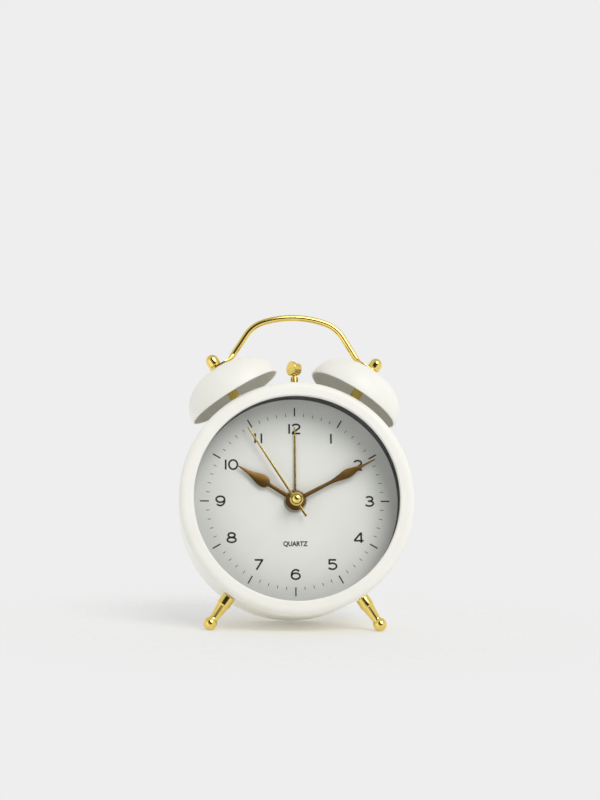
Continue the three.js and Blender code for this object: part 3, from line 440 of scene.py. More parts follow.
def case():
    """The rolled bezel and the barrel in one, with bores for the studs and the hammer's slot."""
    inner = CASE_RADIUS - CASE_WALL
    outline = rounded([
        (OPENING_RADIUS, 1.9),
        (OPENING_RADIUS, 0, 0.55),
        (CASE_RADIUS, 0, BEZEL_ROUND),
        (CASE_RADIUS, CASE_DEPTH, 0.85),
        (inner, CASE_DEPTH, 0.04),
        (inner, 3.4, 0.3),
        (inner - 2, 1.9),
    ], step=math.radians(7))
    made = shown("case", lathe(outline, 224), TURN_IN)
    bore = STUD_RADIUS + CLEARANCE
    cutters = []
    for sign in SIDES.values():
        cutters.append(shown("bore", cylinder(bore, *THROUGH_CASE), at_bell(sign)))
        cutters.append(shown("bore", cylinder(bore, *THROUGH_CASE), at_leg(sign)))
    x, y = CASE_SLOT
    slot = rounded([(-x, -y, 2.1), (x, -y, 2.1), (x, y, 2.1), (-x, y, 2.1)])
    above = Matrix.Translation((0, BELL_PLACE, 0))
    cutters.append(shown("slot", slab(slot, *THROUGH_CASE), above))
    dressed(carved(made, *cutters), "white_paint", "clock", ["case_body"])


def lens():
    outline = rounded([
        (0, LENS_FRONT), (LENS_RADIUS, LENS_FRONT, 0.3), (LENS_RADIUS, LENS_BACK, 0.3), (0, LENS_BACK),
    ], closed=False)
    made = shown("lens_glass", lathe(outline, 160), TURN_IN)
    dressed(made, "clear_lens", "clock", ["lens"])


def seals():
    """The rubber gasket behind the lens and the black ring that stands on the dial."""
    gasket = rounded([
        (GASKET_BORE, GASKET_FRONT, 0.4), (INSIDE_RADIUS, GASKET_FRONT, 0.2),
        (INSIDE_RADIUS, GASKET_BACK, 0.2), (GASKET_BORE, GASKET_BACK, 0.4),
    ])
    made = shown("gasket", lathe(gasket, 160), TURN_IN)
    dressed(made, "grey_rubber", "clock", ["lens_gasket"])
    spacer = rounded([
        (RING_BORE, RING_FRONT, 0.25), (RING_RADIUS, RING_FRONT, 0.25),
        (RING_RADIUS, RING_BACK, 0.1), (RING_BORE, RING_BACK, 0.1),
    ])
    made = shown("spacer_ring", lathe(spacer, 160), TURN_IN)
    dressed(made, "black_plastic", "clock", ["inner_ring"])


# ---- Dial ----

HOUR_MARK = (32.9, 36.25, 0.5)  # inner and outer radius, and width
MINUTE_MARK = (32.8, 34.05, 0.22)
NUMERAL_PLACE = 28.0
WORD_PLACE = -16.5
WORD_SIZE = (2.25, 9.3, 0.035)  # height, width and extra weight of the strokes
PRINT_LOW = 0.003  # where the print starts, off the dial's face
PRINT_HIGH = 0.035
DIAL_FACE = Matrix.Rotation(DIAL_TURN, 4, "Y") @ Matrix.Translation((0, DIAL_FRONT, 0)) @ FACING


def marks(count, skip, inner, outer, width):
    """Radial strokes all round the dial."""
    strokes = []
    for i in range(count):
        if skip and i % skip == 0:
            continue
        half = width / 2
        outline = [(-half, inner), (half, inner), (half, outer), (-half, outer)]
        turn = Matrix.Rotation(-2 * math.pi * i / count, 4, "Z")
        strokes.append((slab(outline, PRINT_LOW, PRINT_HIGH), turn))
    return together(*strokes)


def raised(body):
    """Gives flat print its thickness."""
    lifted = bmesh.ops.extrude_face_region(body, geom=list(body.faces))["geom"]
    top = [v for v in lifted if isinstance(v, bmesh.types.BMVert)]
    bmesh.ops.translate(body, verts=top, vec=(0, 0, PRINT_HIGH - PRINT_LOW))
    bmesh.ops.recalc_face_normals(body, faces=body.faces)
    return body


def lettering(text, height, width, weight):
    """Raised characters of this height and width, centred on the origin."""
    curve = bpy.data.curves.new("lettering", "FONT")
    curve.body = text
    curve.resolution_u = 6
    curve.offset = weight
    writer = bpy.data.objects.new("lettering", curve)
    bpy.context.scene.collection.objects.link(writer)
    bpy.context.view_layer.update()
    flat = bpy.data.meshes.new_from_object(
        writer.evaluated_get(bpy.context.evaluated_depsgraph_get()))
    bpy.data.objects.remove(writer)
    body = bmesh.new()
    body.from_mesh(flat)
    bpy.data.meshes.remove(flat)
    bmesh.ops.remove_doubles(body, verts=body.verts, dist=1e-5)
    xs = [v.co.x for v in body.verts]
    ys = [v.co.y for v in body.verts]
    for v in body.verts:
        v.co.x = (v.co.x - (max(xs) + min(xs)) / 2) * width / (max(xs) - min(xs))
        v.co.y = (v.co.y - (max(ys) + min(ys)) / 2) * height / (max(ys) - min(ys))
        v.co.z = PRINT_LOW
    return raised(body)


def oval(x, y, wide, tall, first, last):
    """Points on an oval arc about (x, y), from one angle to another, in degrees."""
    return [(x + wide * a, y + tall * b) for a, b in arc((0, 0), 1, first, last, 36)]


SIX = [oval(0, -0.64, 1.6, 1.14, 0, 360), oval(0.05, -0.1, 1.65, 1.88, 196, 42)]
FIGURES = {  # the middle lines of each figure's strokes
    "0": [oval(0, 0, 1.62, 1.78, 0, 360)],
    "1": [[(0, -1.9), (0, 1.9)]],
    "2": [[*oval(0, 0.82, 1.4, 0.96, 165, -36), (-1.4, -1.62)], [(-1.62, -1.78), (1.62, -1.78)]],
    "3": [[*oval(-0.05, 0.93, 1.3, 0.85, 150, -90), (-0.6, 0.08)],
          oval(-0.05, -0.86, 1.6, 0.94, 90, -152)],
    "4": [[(0.8, 1.85), (-1.72, -1.05)], [(-1.85, -1.15), (1.8, -1.15)], [(0.9, -1.98), (0.9, 2.0)]],
    "5": [[(-1.45, 1.78), (1.4, 1.78)], [(-1.2, 1.9), (-1.2, 0.05)],
          oval(-0.05, -0.64, 1.6, 1.14, 137, -150)],
    "6": SIX,
    "7": [[(-1.6, 1.78), (1.65, 1.78)], [(1.4, 1.8), (-0.9, -2.0)]],
    "8": [oval(0, 0.94, 1.28, 0.84, 0, 360), oval(0, -0.86, 1.62, 0.92, 0, 360)],
    "9": [[(-x, -y) for x, y in line] for line in SIX],
}
FIGURE_STROKE = 0.68
FIGURE_PITCH = {"11": 2.4, "10": 2.85, "12": 2.65}
FIGURE_SHIFT = {"10": -0.8, "12": -0.78}  # a leading 1 is narrow, so this centres the pair's ink
SIDEWAYS_SHIFT = {3: 0.5, 9: 0.5}  # how much further out these hours stand


def ribbon(line, width):
    """A flat stroke along a line of points."""
    body = bmesh.new()
    points = [Vector(p) for p in line]
    loop = (points[0] - points[-1]).length < 1e-6
    pairs = []
    for i, point in enumerate(points):
        before = points[-2] if loop and i == 0 else points[max(i - 1, 0)]
        after = points[1] if loop and i == len(points) - 1 else points[min(i + 1, len(points) - 1)]
        side = (after - before).orthogonal().normalized() * width / 2
        pairs.append([body.verts.new((*spot, PRINT_LOW)) for spot in (point + side, point - side)])
    for (a, b), (c, d) in zip(pairs, pairs[1:]):
        body.faces.new((a, b, d, c))
    return raised(body)


def numerals():
    """The hours, upright, each on its own spoke of the dial."""
    strokes = []
    for hour in range(1, 13):
        angle = math.radians(30 * hour)
        across = NUMERAL_PLACE + SIDEWAYS_SHIFT.get(hour, 0)
        text = str(hour)
        pitch = FIGURE_PITCH.get(text, 0)
        shift = FIGURE_SHIFT.get(text, 0)
        for i, digit in enumerate(text):
            x = across * math.sin(angle) + (i - (len(text) - 1) / 2) * pitch + shift
            place = Matrix.Translation((x, across * math.cos(angle), 0))
            strokes += [(ribbon(line, FIGURE_STROKE), place) for line in FIGURES[digit]]
    return together(*strokes)


def dial():
    """The dial's plate and all that is printed on it."""
    outline = rounded([(DIAL_BORE, 0, 0.1), (INSIDE_RADIUS, 0, 0.1),
                       (INSIDE_RADIUS, DIAL_THICKNESS, 0.1), (DIAL_BORE, DIAL_THICKNESS, 0.1)])
    made = shown("dial_plate", lathe(outline, 160), Matrix.Translation((0, DIAL_FRONT, 0)) @ TURN_IN)
    dressed(made, "dial_print", "clock", ["dial"])
    word = (lettering("QUARTZ", *WORD_SIZE), Matrix.Translation((0, WORD_PLACE, 0)))
    prints = {
        "hour_marks": marks(12, 0, *HOUR_MARK),
        "minute_marks": marks(60, 5, *MINUTE_MARK),
        "numerals": numerals(),
        "dial_word": together(word),
    }
    for name, body in prints.items():
        dressed(shown(name, body, DIAL_FACE), "dial_ink", "clock")


# ---- Hands ----

HAND_THICKNESS = 0.25
CAP_RADIUS = 2.55
CAP_PLACE = 6.75  # depth of the ball's middle
CAP_FOOT = 9.15  # depth of the flat that it is cut off at
SECOND_TAIL = [(0.48, -7.3), (0.44, -1.0)]


def smoothed(points, steps=5):
    """A smooth line through these points."""
    line = []
    for i in range(len(points) - 1):
        a, b = points[max(i - 1, 0)], points[i]
        c, d = points[i + 1], points[min(i + 2, len(points) - 1)]
        for k in range(steps):
            t = k / steps
            line.append(tuple(
                0.5 * (2 * q + (r - p) * t + (2 * p - 5 * q + 4 * r - s) * t * t
                       + (3 * q - p - 3 * r + s) * t ** 3)
                for p, q, r, s in zip(a, b, c, d)))
    return [*line, points[-1]]


def blade(points, front, bevel):
    """A hand's blade from half of its outline, pointing at twelve."""
    half = smoothed(points)
    outline = [*half, *[(-x, y) for x, y in reversed(half)]]
    return slab(outline, -front - HAND_THICKNESS, -front, bevel)


def boss(radius, bore, front):
    """The disc at a hand's root, a little proud of its blade."""
    low = -front - HAND_THICKNESS
    high = -front + 0.25
    outline = rounded([(bore, low), (radius, low, 0.05), (radius, high, 0.2), (bore, high, 0.1)])
    return lathe(outline, 72)


HANDS = {
    "alarm_hand": dict(front=11.6, boss=(3.7, 3.05), turn=359.3, points=[
        (0.42, 3.3), (0.38, 14), (0.34, 21), (0.28, 28.5)]),
    "hour_hand": dict(front=10.9, boss=(3.8, 2.3), turn=300.7, points=[
        (0.85, 2.6), (0.77, 8), (0.75, 11.4), (0.95, 11.9), (1.5, 12.3), (2.05, 12.95), (2.35, 14),
        (2.3, 15.4), (1.85, 17.2), (1.15, 19.3), (0.7, 21.6), (0.14, 26)]),
    "minute_hand": dict(front=10.2, boss=(3.4, 1.55), turn=61.8, points=[
        (0.85, 2.0), (0.74, 9), (0.7, 15.2), (1.05, 18.2), (1.6, 21), (1.76, 22.8), (1.35, 25.0),
        (0.75, 27.6), (0.45, 29.6), (0.2, 34.6)]),
    "second_hand": dict(front=9.6, boss=(1.4, 0.8), turn=326.5, points=[
        (0.44, 1.0), (0.4, 16), (0.28, 33.1)]),
}


def hands():
    """The four hands and the ball that caps them."""
    for name, hand in HANDS.items():
        slim = name in ("alarm_hand", "second_hand")
        bevel = 0.12 if slim else 0.05
        parts = [blade(hand["points"], hand["front"], bevel), boss(*hand["boss"], hand["front"])]
        if name == "second_hand":
            parts.append(blade(SECOND_TAIL, hand["front"], bevel))
        turn = Matrix.Rotation(math.radians(hand["turn"]), 4, "Y")
        made = shown(name.replace("hand", "pointer"), together(*parts), turn @ FACING)
        dressed(made, "slim_brass" if slim else "hand_brass", name, [name])
    ball = [(0, -CAP_FOOT), *arc((0, -CAP_PLACE), CAP_RADIUS, -70, 90, 30)[:-1],
            (0, CAP_RADIUS - CAP_PLACE)]
    made = shown("ball_cap", lathe(ball, 72), FACING)
    dressed(made, "gold_brass", "second_hand", ["hand_cap"])


# ---- Bells, posts, nuts ----


def dome(inset, steps=40):
    """The dome's outline from rim to crown, this much inside its outer face."""
    power = 2 / BELL_FULLNESS
    angles = [math.pi / 2 * k / steps for k in range(steps + 1)]
    return [((BELL_RADIUS - inset) * math.cos(t) ** power,
             (BELL_HEIGHT - inset) * math.sin(t) ** power) for t in angles[:-1]]


def bells():
    """Two domes with a rounded rim, each bored for its stud."""
    bore = STUD_RADIUS + CLEARANCE
    half = BELL_WALL / 2
    rim = arc((BELL_RADIUS - half, half), half, -180, 0, 8)
    sides = [[p for p in dome(inset) if p[0] > bore + 0.3 and p[1] > half]
             for inset in (0, BELL_WALL)]
    crown = [(bore, BELL_HEIGHT), (bore, BELL_HEIGHT - BELL_WALL)]
    outline = [*rim, *sides[0], *crown, *reversed(sides[1])]
    for side, sign in SIDES.items():
        lift = Matrix.Translation((0, 0, BELL_RIM))
        made = shown("dome_" + side, lathe(outline, 176), at_bell(sign) @ lift)
        dressed(made, "white_paint", "clock", ["bell_" + side])


def posts():
    """The grooved posts under the bells and the domed nuts over them."""
    low = CASE_RADIUS + CLEARANCE
    high = BELL_CROWN - BELL_WALL - CLEARANCE
    post = rounded([
        (0, 39.6), (STUD_RADIUS, 39.6, 0.2), (STUD_RADIUS, low), (POST_RADIUS, low, 0.15),
        (POST_RADIUS, low + 1.6, 0.2), (1.8, low + 2.0, 0.1), (POST_RADIUS, low + 2.4, 0.2),
        (POST_RADIUS, high, 0.25), (STUD_RADIUS, high), (STUD_RADIUS, high + 5.1, 0.3),
        (0, high + 5.1),
    ], closed=False)
    low_nut = TAB_HIGH + 0.12
    nut = [
        (STUD_RADIUS + CLEARANCE, low_nut), (2.1, low_nut), (2.3, low_nut + 0.25),
        (NUT_RADIUS, low_nut + 0.8), *arc((0, low_nut + NUT_RADIUS), NUT_RADIUS, 0, 90, 20)[:-1],
        (0, low_nut + 2 * NUT_RADIUS),
    ]
    hollow = [(0, low_nut + 3.7), (STUD_RADIUS + CLEARANCE, low_nut + 3.4)]
    for side, sign in SIDES.items():
        made = shown("post_" + side, lathe(post, 64), at_bell(sign))
        dressed(made, "gold_brass", "clock", ["bell_post_" + side])
        cap = lathe([*reversed(nut), *reversed(hollow)], 72)
        made = shown("dome_nut_" + side, cap, at_bell(sign))
        dressed(made, "gold_brass", "clock", ["bell_cap_nut_" + side], sharp=50)


# ---- Handle ----


def handle_line():
    """The right half of the wire's middle line in x and z, from the top to its flat end."""
    tangent = Vector((math.cos(BELL_LEAN), -math.sin(BELL_LEAN)))
    outward = Vector((math.sin(BELL_LEAN), math.cos(BELL_LEAN)))
    crown = outward * ((TAB_LOW + TAB_HIGH) / 2) - tangent * BELL_INSET
    foot = crown - tangent * TAB_REACH
    down = Vector((math.sin(HANDLE_SLOPE), -math.cos(HANDLE_SLOPE)))
    inward = Vector((down.y, -down.x))
    middle = Vector((0, HANDLE_TOP - HANDLE_ARC))
    reach = HANDLE_ARC - HANDLE_BEND
    start = foot + inward * HANDLE_BEND - middle
    along = start.dot(down)
    back = along + math.sqrt(along * along - (start.length_squared - reach * reach))
    bend = start - down * back
    first = math.degrees(math.atan2(bend.y, bend.x))
    last = math.degrees(math.atan2(-inward.y, -inward.x))
    top = arc(middle, HANDLE_ARC, 90, first, 40)
    corner = arc(bend + middle, HANDLE_BEND, first, last, 18)
    end = crown + tangent * (TAB_WIDTH / 2)
    lower = rounded([(*corner[-1],), (*foot, 4.5), (*end,)], closed=False, step=math.radians(3))
    line = [Vector(p) for p in [*top, *corner[1:-1], *lower]]
    fine = [line[0]]
    for a, b in zip(line, line[1:]):
        pieces = max(1, math.ceil((b - a).length / WIRE_STEP))
        fine += [a.lerp(b, k / pieces) for k in range(1, pieces + 1)]
    return fine, crown, tangent


def handle_section(along):
    """A ring of (across, thick) offsets of the wire, which flattens towards the bell's axis."""
    start, length = FLATTENING
    flat = min(max((along + TAB_REACH + start) / length, 0), 1)
    flat = flat * flat * (3 - 2 * flat)
    wide = WIRE_RADIUS + (TAB_WIDTH / 2 - WIRE_RADIUS) * flat
    thick = WIRE_RADIUS + (TAB_THICKNESS / 2 - WIRE_RADIUS) * flat
    if along > 0:
        wide *= math.sqrt(max(1 - (along / (TAB_WIDTH / 2)) ** 2, 0.004))
    square = 1 - 0.55 * flat
    ring = []
    for k in range(WIRE_SIDES):
        angle = 2 * math.pi * k / WIRE_SIDES
        c, s = math.cos(angle), math.sin(angle)
        ring.append((math.copysign(abs(c) ** square, c) * wide,
                     math.copysign(abs(s) ** square, s) * thick))
    return ring


def handle():
    """The wire swept along its line, with a bore for a stud in each flat end."""
    line, crown, tangent = handle_line()
    right = [(p, (p - crown).dot(tangent)) for p in line]
    left = [(Vector((-p.x, p.y)), along) for p, along in reversed(right[1:])]
    whole = [*left, *right]
    body = bmesh.new()
    rings = []
    for i, (point, along) in enumerate(whole):
        ahead = whole[min(i + 1, len(whole) - 1)][0] - whole[max(i - 1, 0)][0]
        normal = Vector((-ahead.y, ahead.x)).normalized()
        ring = []
        for wide, thick in handle_section(along):
            spot = point + normal * thick
            ring.append(body.verts.new((spot.x, wide, spot.y)))
        rings.append(ring)
    for a, b in zip(rings, rings[1:]):
        for k in range(WIRE_SIDES):
            j = (k + 1) % WIRE_SIDES
            body.faces.new((a[k], a[j], b[j], b[k]))
    body.faces.new(rings[0])
    body.faces.new(rings[-1])
    bmesh.ops.recalc_face_normals(body, faces=body.faces)
    made = shown("wire_handle", body, Matrix.Translation((0, BELL_PLACE, 0)))
    bores = [shown("bore", cylinder(STUD_RADIUS + CLEARANCE, TAB_LOW - 2, TAB_HIGH + 2),
                   at_bell(sign)) for sign in SIDES.values()]
    dressed(carved(made, *bores), "gold_brass", "clock", ["handle"])


# ---- Legs ----


def legs():
    """Tapered legs with ball feet, worn flat where they stand."""
    low = CASE_RADIUS + CLEARANCE
    outline = [
        *rounded([
            (0, 41), (STUD_RADIUS, 41, 0.2), (STUD_RADIUS, low), (2.6, low, 0.2),
            (2.6, low + 3.8, 0.35), (2.3, low + 4.2, 0.15), (1.62, LEG_BALL - 2.5, 0.5),
            (1.9, LEG_BALL - 1.75),
        ], closed=False)[:-1],
        *arc((0, LEG_BALL), LEG_BALL_RADIUS, -46, 90, 26)[:-1],
        (0, LEG_BALL + LEG_BALL_RADIUS),
    ]
    for side, sign in SIDES.items():
        made = shown("turned_leg_" + side, lathe(outline, 96), at_leg(sign))
        for vertex in made.data.vertices:
            vertex.co.z = max(vertex.co.z, 0)
        dressed(made, "gold_brass", "clock", ["leg_" + side])


# ---- Hammer ----


def hammer():
    """The hammer's head and stem, and the winding of its magnet."""
    above = Matrix.Translation((0, BELL_PLACE, 0))
    head = lathe(rounded([
        (0, -2), (HEAD_FACE, -2, 0.35), (HEAD_FACE, -0.75, 0.2), (HEAD_BODY, -0.55, 0.12),
        (HEAD_BODY, 2, 0.5), (0, 2),
    ], closed=False), 96)
    turn = Matrix.Rotation(HEAD_TURN, 4, "Z")
    place = above @ Matrix.Translation((0, 0, HEAD_HEIGHT)) @ turn @ TURN_IN
    made = shown("striker_head", head, place)
    bore = shown("bore", cylinder(STEM_TIP + 0.3, HEAD_HEIGHT - 4.2, HEAD_HEIGHT - 0.2), above)
    dressed(carved(made, bore), "gold_brass", "hammer", ["hammer_head"])
    shoulder = HEAD_HEIGHT - 3.3
    stem = rounded([
        (0, 41.9), (STEM_RADIUS, 41.9, 0.2), (STEM_RADIUS, shoulder, 0.3), (STEM_TIP, shoulder),
        (STEM_TIP, HEAD_HEIGHT - 0.6, 0.15), (0, HEAD_HEIGHT - 0.6),
    ], closed=False)
    made = shown("striker_stem", lathe(stem, 64), above)
    dressed(made, "gold_brass", "hammer", ["hammer_stem"])
    coil = [(1.5, -3.5), (3.2, -3.5, 0.2), (3.2, -2.7, 0.2)]
    pitch = WINDING_LENGTH / WINDING_TURNS
    for k in range(WINDING_TURNS):
        coil += [(2.55, -2.7 + k * pitch), (2.8, -2.7 + (k + 0.5) * pitch, 0.12)]
    coil += [(2.55, 2.7), (3.2, 2.7, 0.2), (3.2, 3.5, 0.2), (1.5, 3.5)]
    sideways = Matrix.Rotation(math.pi / 2, 4, "Y")
    place = above @ Matrix.Translation(WINDING_AT) @ sideways
    made = shown("striker_winding", lathe(rounded(coil), 64), place)
    dressed(made, "copper_wire", "clock", ["striker_coil"])


# ---- Back ----


def at_knob(name):
    """Where a knob's shaft crosses the front plane, in the clock's frame."""
    spot = CLOCK.inverted() @ Vector(hinges[name + "_turn"]["pos_m"])
    return Matrix.Translation((spot.x, 0, spot.z))


def cover():
    """The back cover: a dished disc with a raised rim, the battery bay, a recess and a shaft bore at each knob,
    bores for the screws and the switch's slot.
    """
    rim = rounded([
        (0, COVER_FRONT), (INSIDE_RADIUS, COVER_FRONT, 0.2), (INSIDE_RADIUS, COVER_BACK, 0.35),
        (INSIDE_RADIUS - 1.8, COVER_BACK, 0.25), (INSIDE_RADIUS - 2.2, COVER_BACK - 0.35, 0.2),
        (0, COVER_BACK - 0.35),
    ], closed=False)
    made = shown("rear_cover", lathe(rim, 176), TURN_IN)
    bay = (BAY_HALF_WIDTH + BAY_WALL, BAY_HALF_HEIGHT + BAY_WALL)
    front = BATTERY_PLACE - BATTERY_RADIUS - 1.5
    outer = box((-bay[0], front, BATTERY_HEIGHT - bay[1]),
                (bay[0], COVER_BACK - 0.05, BATTERY_HEIGHT + bay[1]), 0.5)
    carved(made, shown("bay", outer), operation="UNION")
    hollow = box((-BAY_HALF_WIDTH, front + BAY_WALL, BATTERY_HEIGHT - BAY_HALF_HEIGHT),
                 (BAY_HALF_WIDTH, COVER_BACK + 3, BATTERY_HEIGHT + BAY_HALF_HEIGHT), 0)
    cutters = [shown("hollow", hollow)]
    for name in ("time_knob", "alarm_knob"):
        shaft = cylinder(SHAFT_RADIUS + 0.4, 30, 42)
        cutters.append(shown("bore", shaft, at_knob(name) @ TURN_IN))
        recess = lathe(rounded([(0, COVER_BACK - 0.75), (6.6, COVER_BACK - 0.75, 0.2),
                                (6.9, COVER_BACK + 1), (0, COVER_BACK + 1)], closed=False), 96)
        cutters.append(shown("recess", recess, at_knob(name) @ TURN_IN))
    for sign in SIDES.values():
        place = Matrix.Translation((sign * SCREW_AT[0], 0, SCREW_AT[1]))
        cutters.append(shown("bore", cylinder(1.4, 30, 42), place @ TURN_IN))
    slot = box((-4.2, 30, SWITCH_HEIGHT - 1.1), (4.2, 42, SWITCH_HEIGHT + 1.1), 0)
    cutters.append(shown("slot", slot))
    carved(made, *cutters)
    dressed(made, "white_plastic", "clock", ["back_cover"], sharp=30)


def turn_mark(name, radius, first, last):
    """A raised curved arrow by a knob, which says which way it turns."""
    steps = 20
    outer = arc((0, 0), radius + 0.3, first, last, steps)
    inner = arc((0, 0), radius - 0.3, last, first, steps)
    shaft = slab([*outer, *inner], 0, 0.25, 0.06)
    end = math.radians(last)
    along = Vector((-math.sin(end), math.cos(end))) * math.copysign(1, last - first)
    out = Vector((math.cos(end), math.sin(end)))
    root = out * radius
    points = [root + out * 1.05, root + along * 1.9, root - out * 1.05]
    if last < first:
        points.reverse()
    tip = slab([tuple(p) for p in points], 0, 0.25, 0.06)
    flip = Matrix.Translation((0, COVER_BACK - 0.36, 0)) @ Matrix.Rotation(-math.pi / 2, 4, "X")
    made = shown(name + "_arrow", together(shaft, tip), at_knob(name) @ flip)
    dressed(made, "white_plastic", "clock")


def knobs():
    """Fluted knobs with a dished end face and a thin grip ring."""
    front = COVER_BACK + 0.6
    bore = SHAFT_RADIUS + CLEARANCE
    outline = rounded([
        (bore, front), (2.4, front, 0.2), (2.4, front + 0.8), (KNOB_RADIUS - 0.2, front + 0.8, 0.35),
        (KNOB_RADIUS, front + 1.6, 0.3), (KNOB_RADIUS - 0.25, KNOB_BACK - 0.6, 0.5),
        (KNOB_RADIUS - 1.2, KNOB_BACK, 0.3), (KNOB_RADIUS - 1.9, KNOB_BACK - 0.45, 0.3),
        (0, KNOB_BACK - 0.45),
    ], closed=False)

    def flute(angle, radius):
        grip = max(0.0, min(1.0, (radius - KNOB_RADIUS + 1.1) / 0.6))
        return radius - 0.32 * grip * (0.5 + 0.5 * math.cos(FLUTES * angle)) ** 2

    for name in ("time_knob", "alarm_knob"):
        bottom = [(0, KNOB_BACK - 1.8), (bore, KNOB_BACK - 1.8)]
        body = lathe([*bottom, *outline], 240, flute)
        made = shown(name.replace("knob", "setting_knob"), body, at_knob(name) @ TURN_IN)
        dressed(made, "white_plastic", name, [name], sharp=45)
    turn_mark("time_knob", 8.2, 20, 100)
    turn_mark("alarm_knob", 8.2, 160, 80)


def door():
    """The battery lid, with ribs for a thumb and its round lower edge."""
    side = BAY_HALF_WIDTH - 0.3
    low = BATTERY_HEIGHT - BAY_HALF_HEIGHT + 1.1
    high = BATTERY_HEIGHT + BAY_HALF_HEIGHT - 0.3
    lid = box((-side, COVER_BACK - 1.4, low - 0.35), (side, COVER_BACK, high), 0.3)
    made = shown("battery_lid", lid)
    hinge = lathe(rounded([(0, -side), (0.7, -side, 0.15), (0.7, side, 0.15), (0, side)],
                          closed=False), 32)
    sideways = Matrix.Translation((0, COVER_BACK - 0.7, low)) @ Matrix.Rotation(math.pi / 2, 4, "Y")
    dip = lathe([(0, -6.2), (1.7, -5.6), (1.9, 0), (1.7, 5.6), (0, 6.2)], 48)
    at_dip = Matrix.Translation((0, COVER_BACK + 0.9, high - 2.6)) @ Matrix.Rotation(
        math.pi / 2, 4, "Y")
    carved(made, shown("hinge", hinge, sideways), operation="UNION")
    carved(made, shown("dip", dip, at_dip))
    ribs = [box((-5.5, COVER_BACK - 0.3, high - 5.6 - 1.1 * k),
                (5.5, COVER_BACK + 0.28, high - 5.1 - 1.1 * k), 0.12) for k in range(4)]
    grip = shown("lid_ribs", together(*ribs))
    dressed(made, "white_plastic", "battery_door", ["battery_door"], sharp=30)
    dressed(grip, "white_plastic", "battery_door")


def switch():
    """The alarm switch's thumb piece, with three ridges, on its tongue."""
    middle = -2
    parts = [
        box((middle - 1.8, COVER_BACK + 0.3, SWITCH_HEIGHT - 2),
            (middle + 1.8, COVER_BACK + 1.7, SWITCH_HEIGHT + 2), 0.35),
        box((middle - 1.7, 34, SWITCH_HEIGHT - 0.8),
            (middle + 1.7, COVER_BACK + 1, SWITCH_HEIGHT + 0.8), 0.1),
    ]
    for k in (-1, 0, 1):
        left = middle + k * 1.05 - 0.27
        parts.append(box((left, COVER_BACK + 1.3, SWITCH_HEIGHT - 1.75),
                         (left + 0.54, COVER_BACK + 2.55, SWITCH_HEIGHT + 1.75), 0.2))
    made = shown("switch_slider", together(*parts))
    dressed(made, "white_plastic", "alarm_switch", ["alarm_switch"])


def screws():
    """Pan-head screws with a cross recess."""
    head = rounded([
        (0, 24), (1.05, 24, 0.3), (1.05, COVER_BACK - 0.3), (2.2, COVER_BACK - 0.3, 0.1),
        (2.2, COVER_BACK + 0.5, 0.3), (1.3, COVER_BACK + 1.05, 0.5), (0, COVER_BACK + 1.2),
    ], closed=False)
    for side, sign in SIDES.items():
        place = Matrix.Translation((sign * SCREW_AT[0], 0, SCREW_AT[1]))
        made = shown("screw_" + side, lathe(head, 64), place @ TURN_IN)
        arms = [((-1.25, -0.23), (1.25, 0.23)), ((-0.23, -1.25), (0.23, 1.25))]
        cross = [shown("recess", box((a[0], COVER_BACK + 0.35, a[1]), (b[0], COVER_BACK + 3, b[1]), 0),
                       place @ Matrix.Rotation(0.5, 4, "Y")) for a, b in arms]
        dressed(carved(made, *cross), "plain_steel", "clock", ["cover_screw_" + side])


# ---- CAD nodes that stay ----


def carried_over():
    """Gives every CAD node that is still shown the finish of its record slot."""
    for part in frame["record"]["subparts"]:
        made = frame["nodes"][part["node"]]
        if made.hide_render:
            continue
        made.data.materials.clear()
        made.data.materials.append(FINISHES[part["material_slot"]])


# ---- Stage ----

PALE = 0.855  # the backdrop's brightness, linear
EYE = (-43.28, -508.51, -71.09)  # in the clock's frame
AIM = (0.74, 0.0, 6.28)
ROLL = math.radians(1.01)
FOCAL_LENGTH = 62.24
FRAME_SHIFT = 0.1  # how far the picture's middle is above the lens axis, in picture heights
LIGHTS = {  # where each comes from, in the clock's frame, its energy and its width in degrees
    "key": ((0.34, -0.75, 0.57), 1.7, 40),
    "fill": ((-0.62, -0.72, -0.30), 0.3, 70),
}
LIGHT_COLOUR = (1.0, 0.985, 0.95)
PANEL_TOWARDS = (-0.05, -0.93, 0.36)  # the dark panel, from the clock
PANEL_EDGE = (0.70, 0.90)  # cosines between which the room goes from bright to dark
PANEL_LIGHT = (0.95, 0.04)
SKY_HEIGHT = (0.1, 1.0)
SKY_LIGHT = (1.0, 0.65)
FLOOR_RADIUS = 1400
FLOOR_REACH = 0.14  # where the floor has faded away, in metres
FLOOR_OPACITY = 0.78  # at its middle
# painted shadow: within this reach of the floor's middle its colour turns to a darker, yellower tone, a painted
# warm contact shadow under the clock
PAINTED_SHADOW_REACH = (0.015, 0.05)
PAINTED_SHADOW_TONE = (0.80, 0.76, 0.62, 1)


def camera():
    """The camera, where the picture was taken from."""
    data = bpy.data.cameras.new("camera")
    data.lens = FOCAL_LENGTH
    data.shift_y = FRAME_SHIFT
    eye = bpy.data.objects.new("camera", data)
    bpy.context.scene.collection.objects.link(eye)
    eye.location = CLOCK @ Vector(EYE)
    look = (CLOCK @ Vector(AIM) - eye.location).to_track_quat("-Z", "Y")
    eye.rotation_mode = "QUATERNION"
    eye.rotation_quaternion = look @ Matrix.Rotation(ROLL, 3, "Z").to_quaternion()
    data.clip_start = 0.01
    bpy.context.scene.camera = eye


def lights():
    """Two broad suns."""
    for name, (source, energy, width) in LIGHTS.items():
        data = bpy.data.lights.new(name, "SUN")
        data.energy = energy
        data.angle = math.radians(width)
        data.color = LIGHT_COLOUR
        light = bpy.data.objects.new(name, data)
        bpy.context.scene.collection.objects.link(light)
        light.rotation_mode = "QUATERNION"
        light.rotation_quaternion = (BASIS.to_3x3() @ Vector(source)).to_track_quat("Z", "Y")


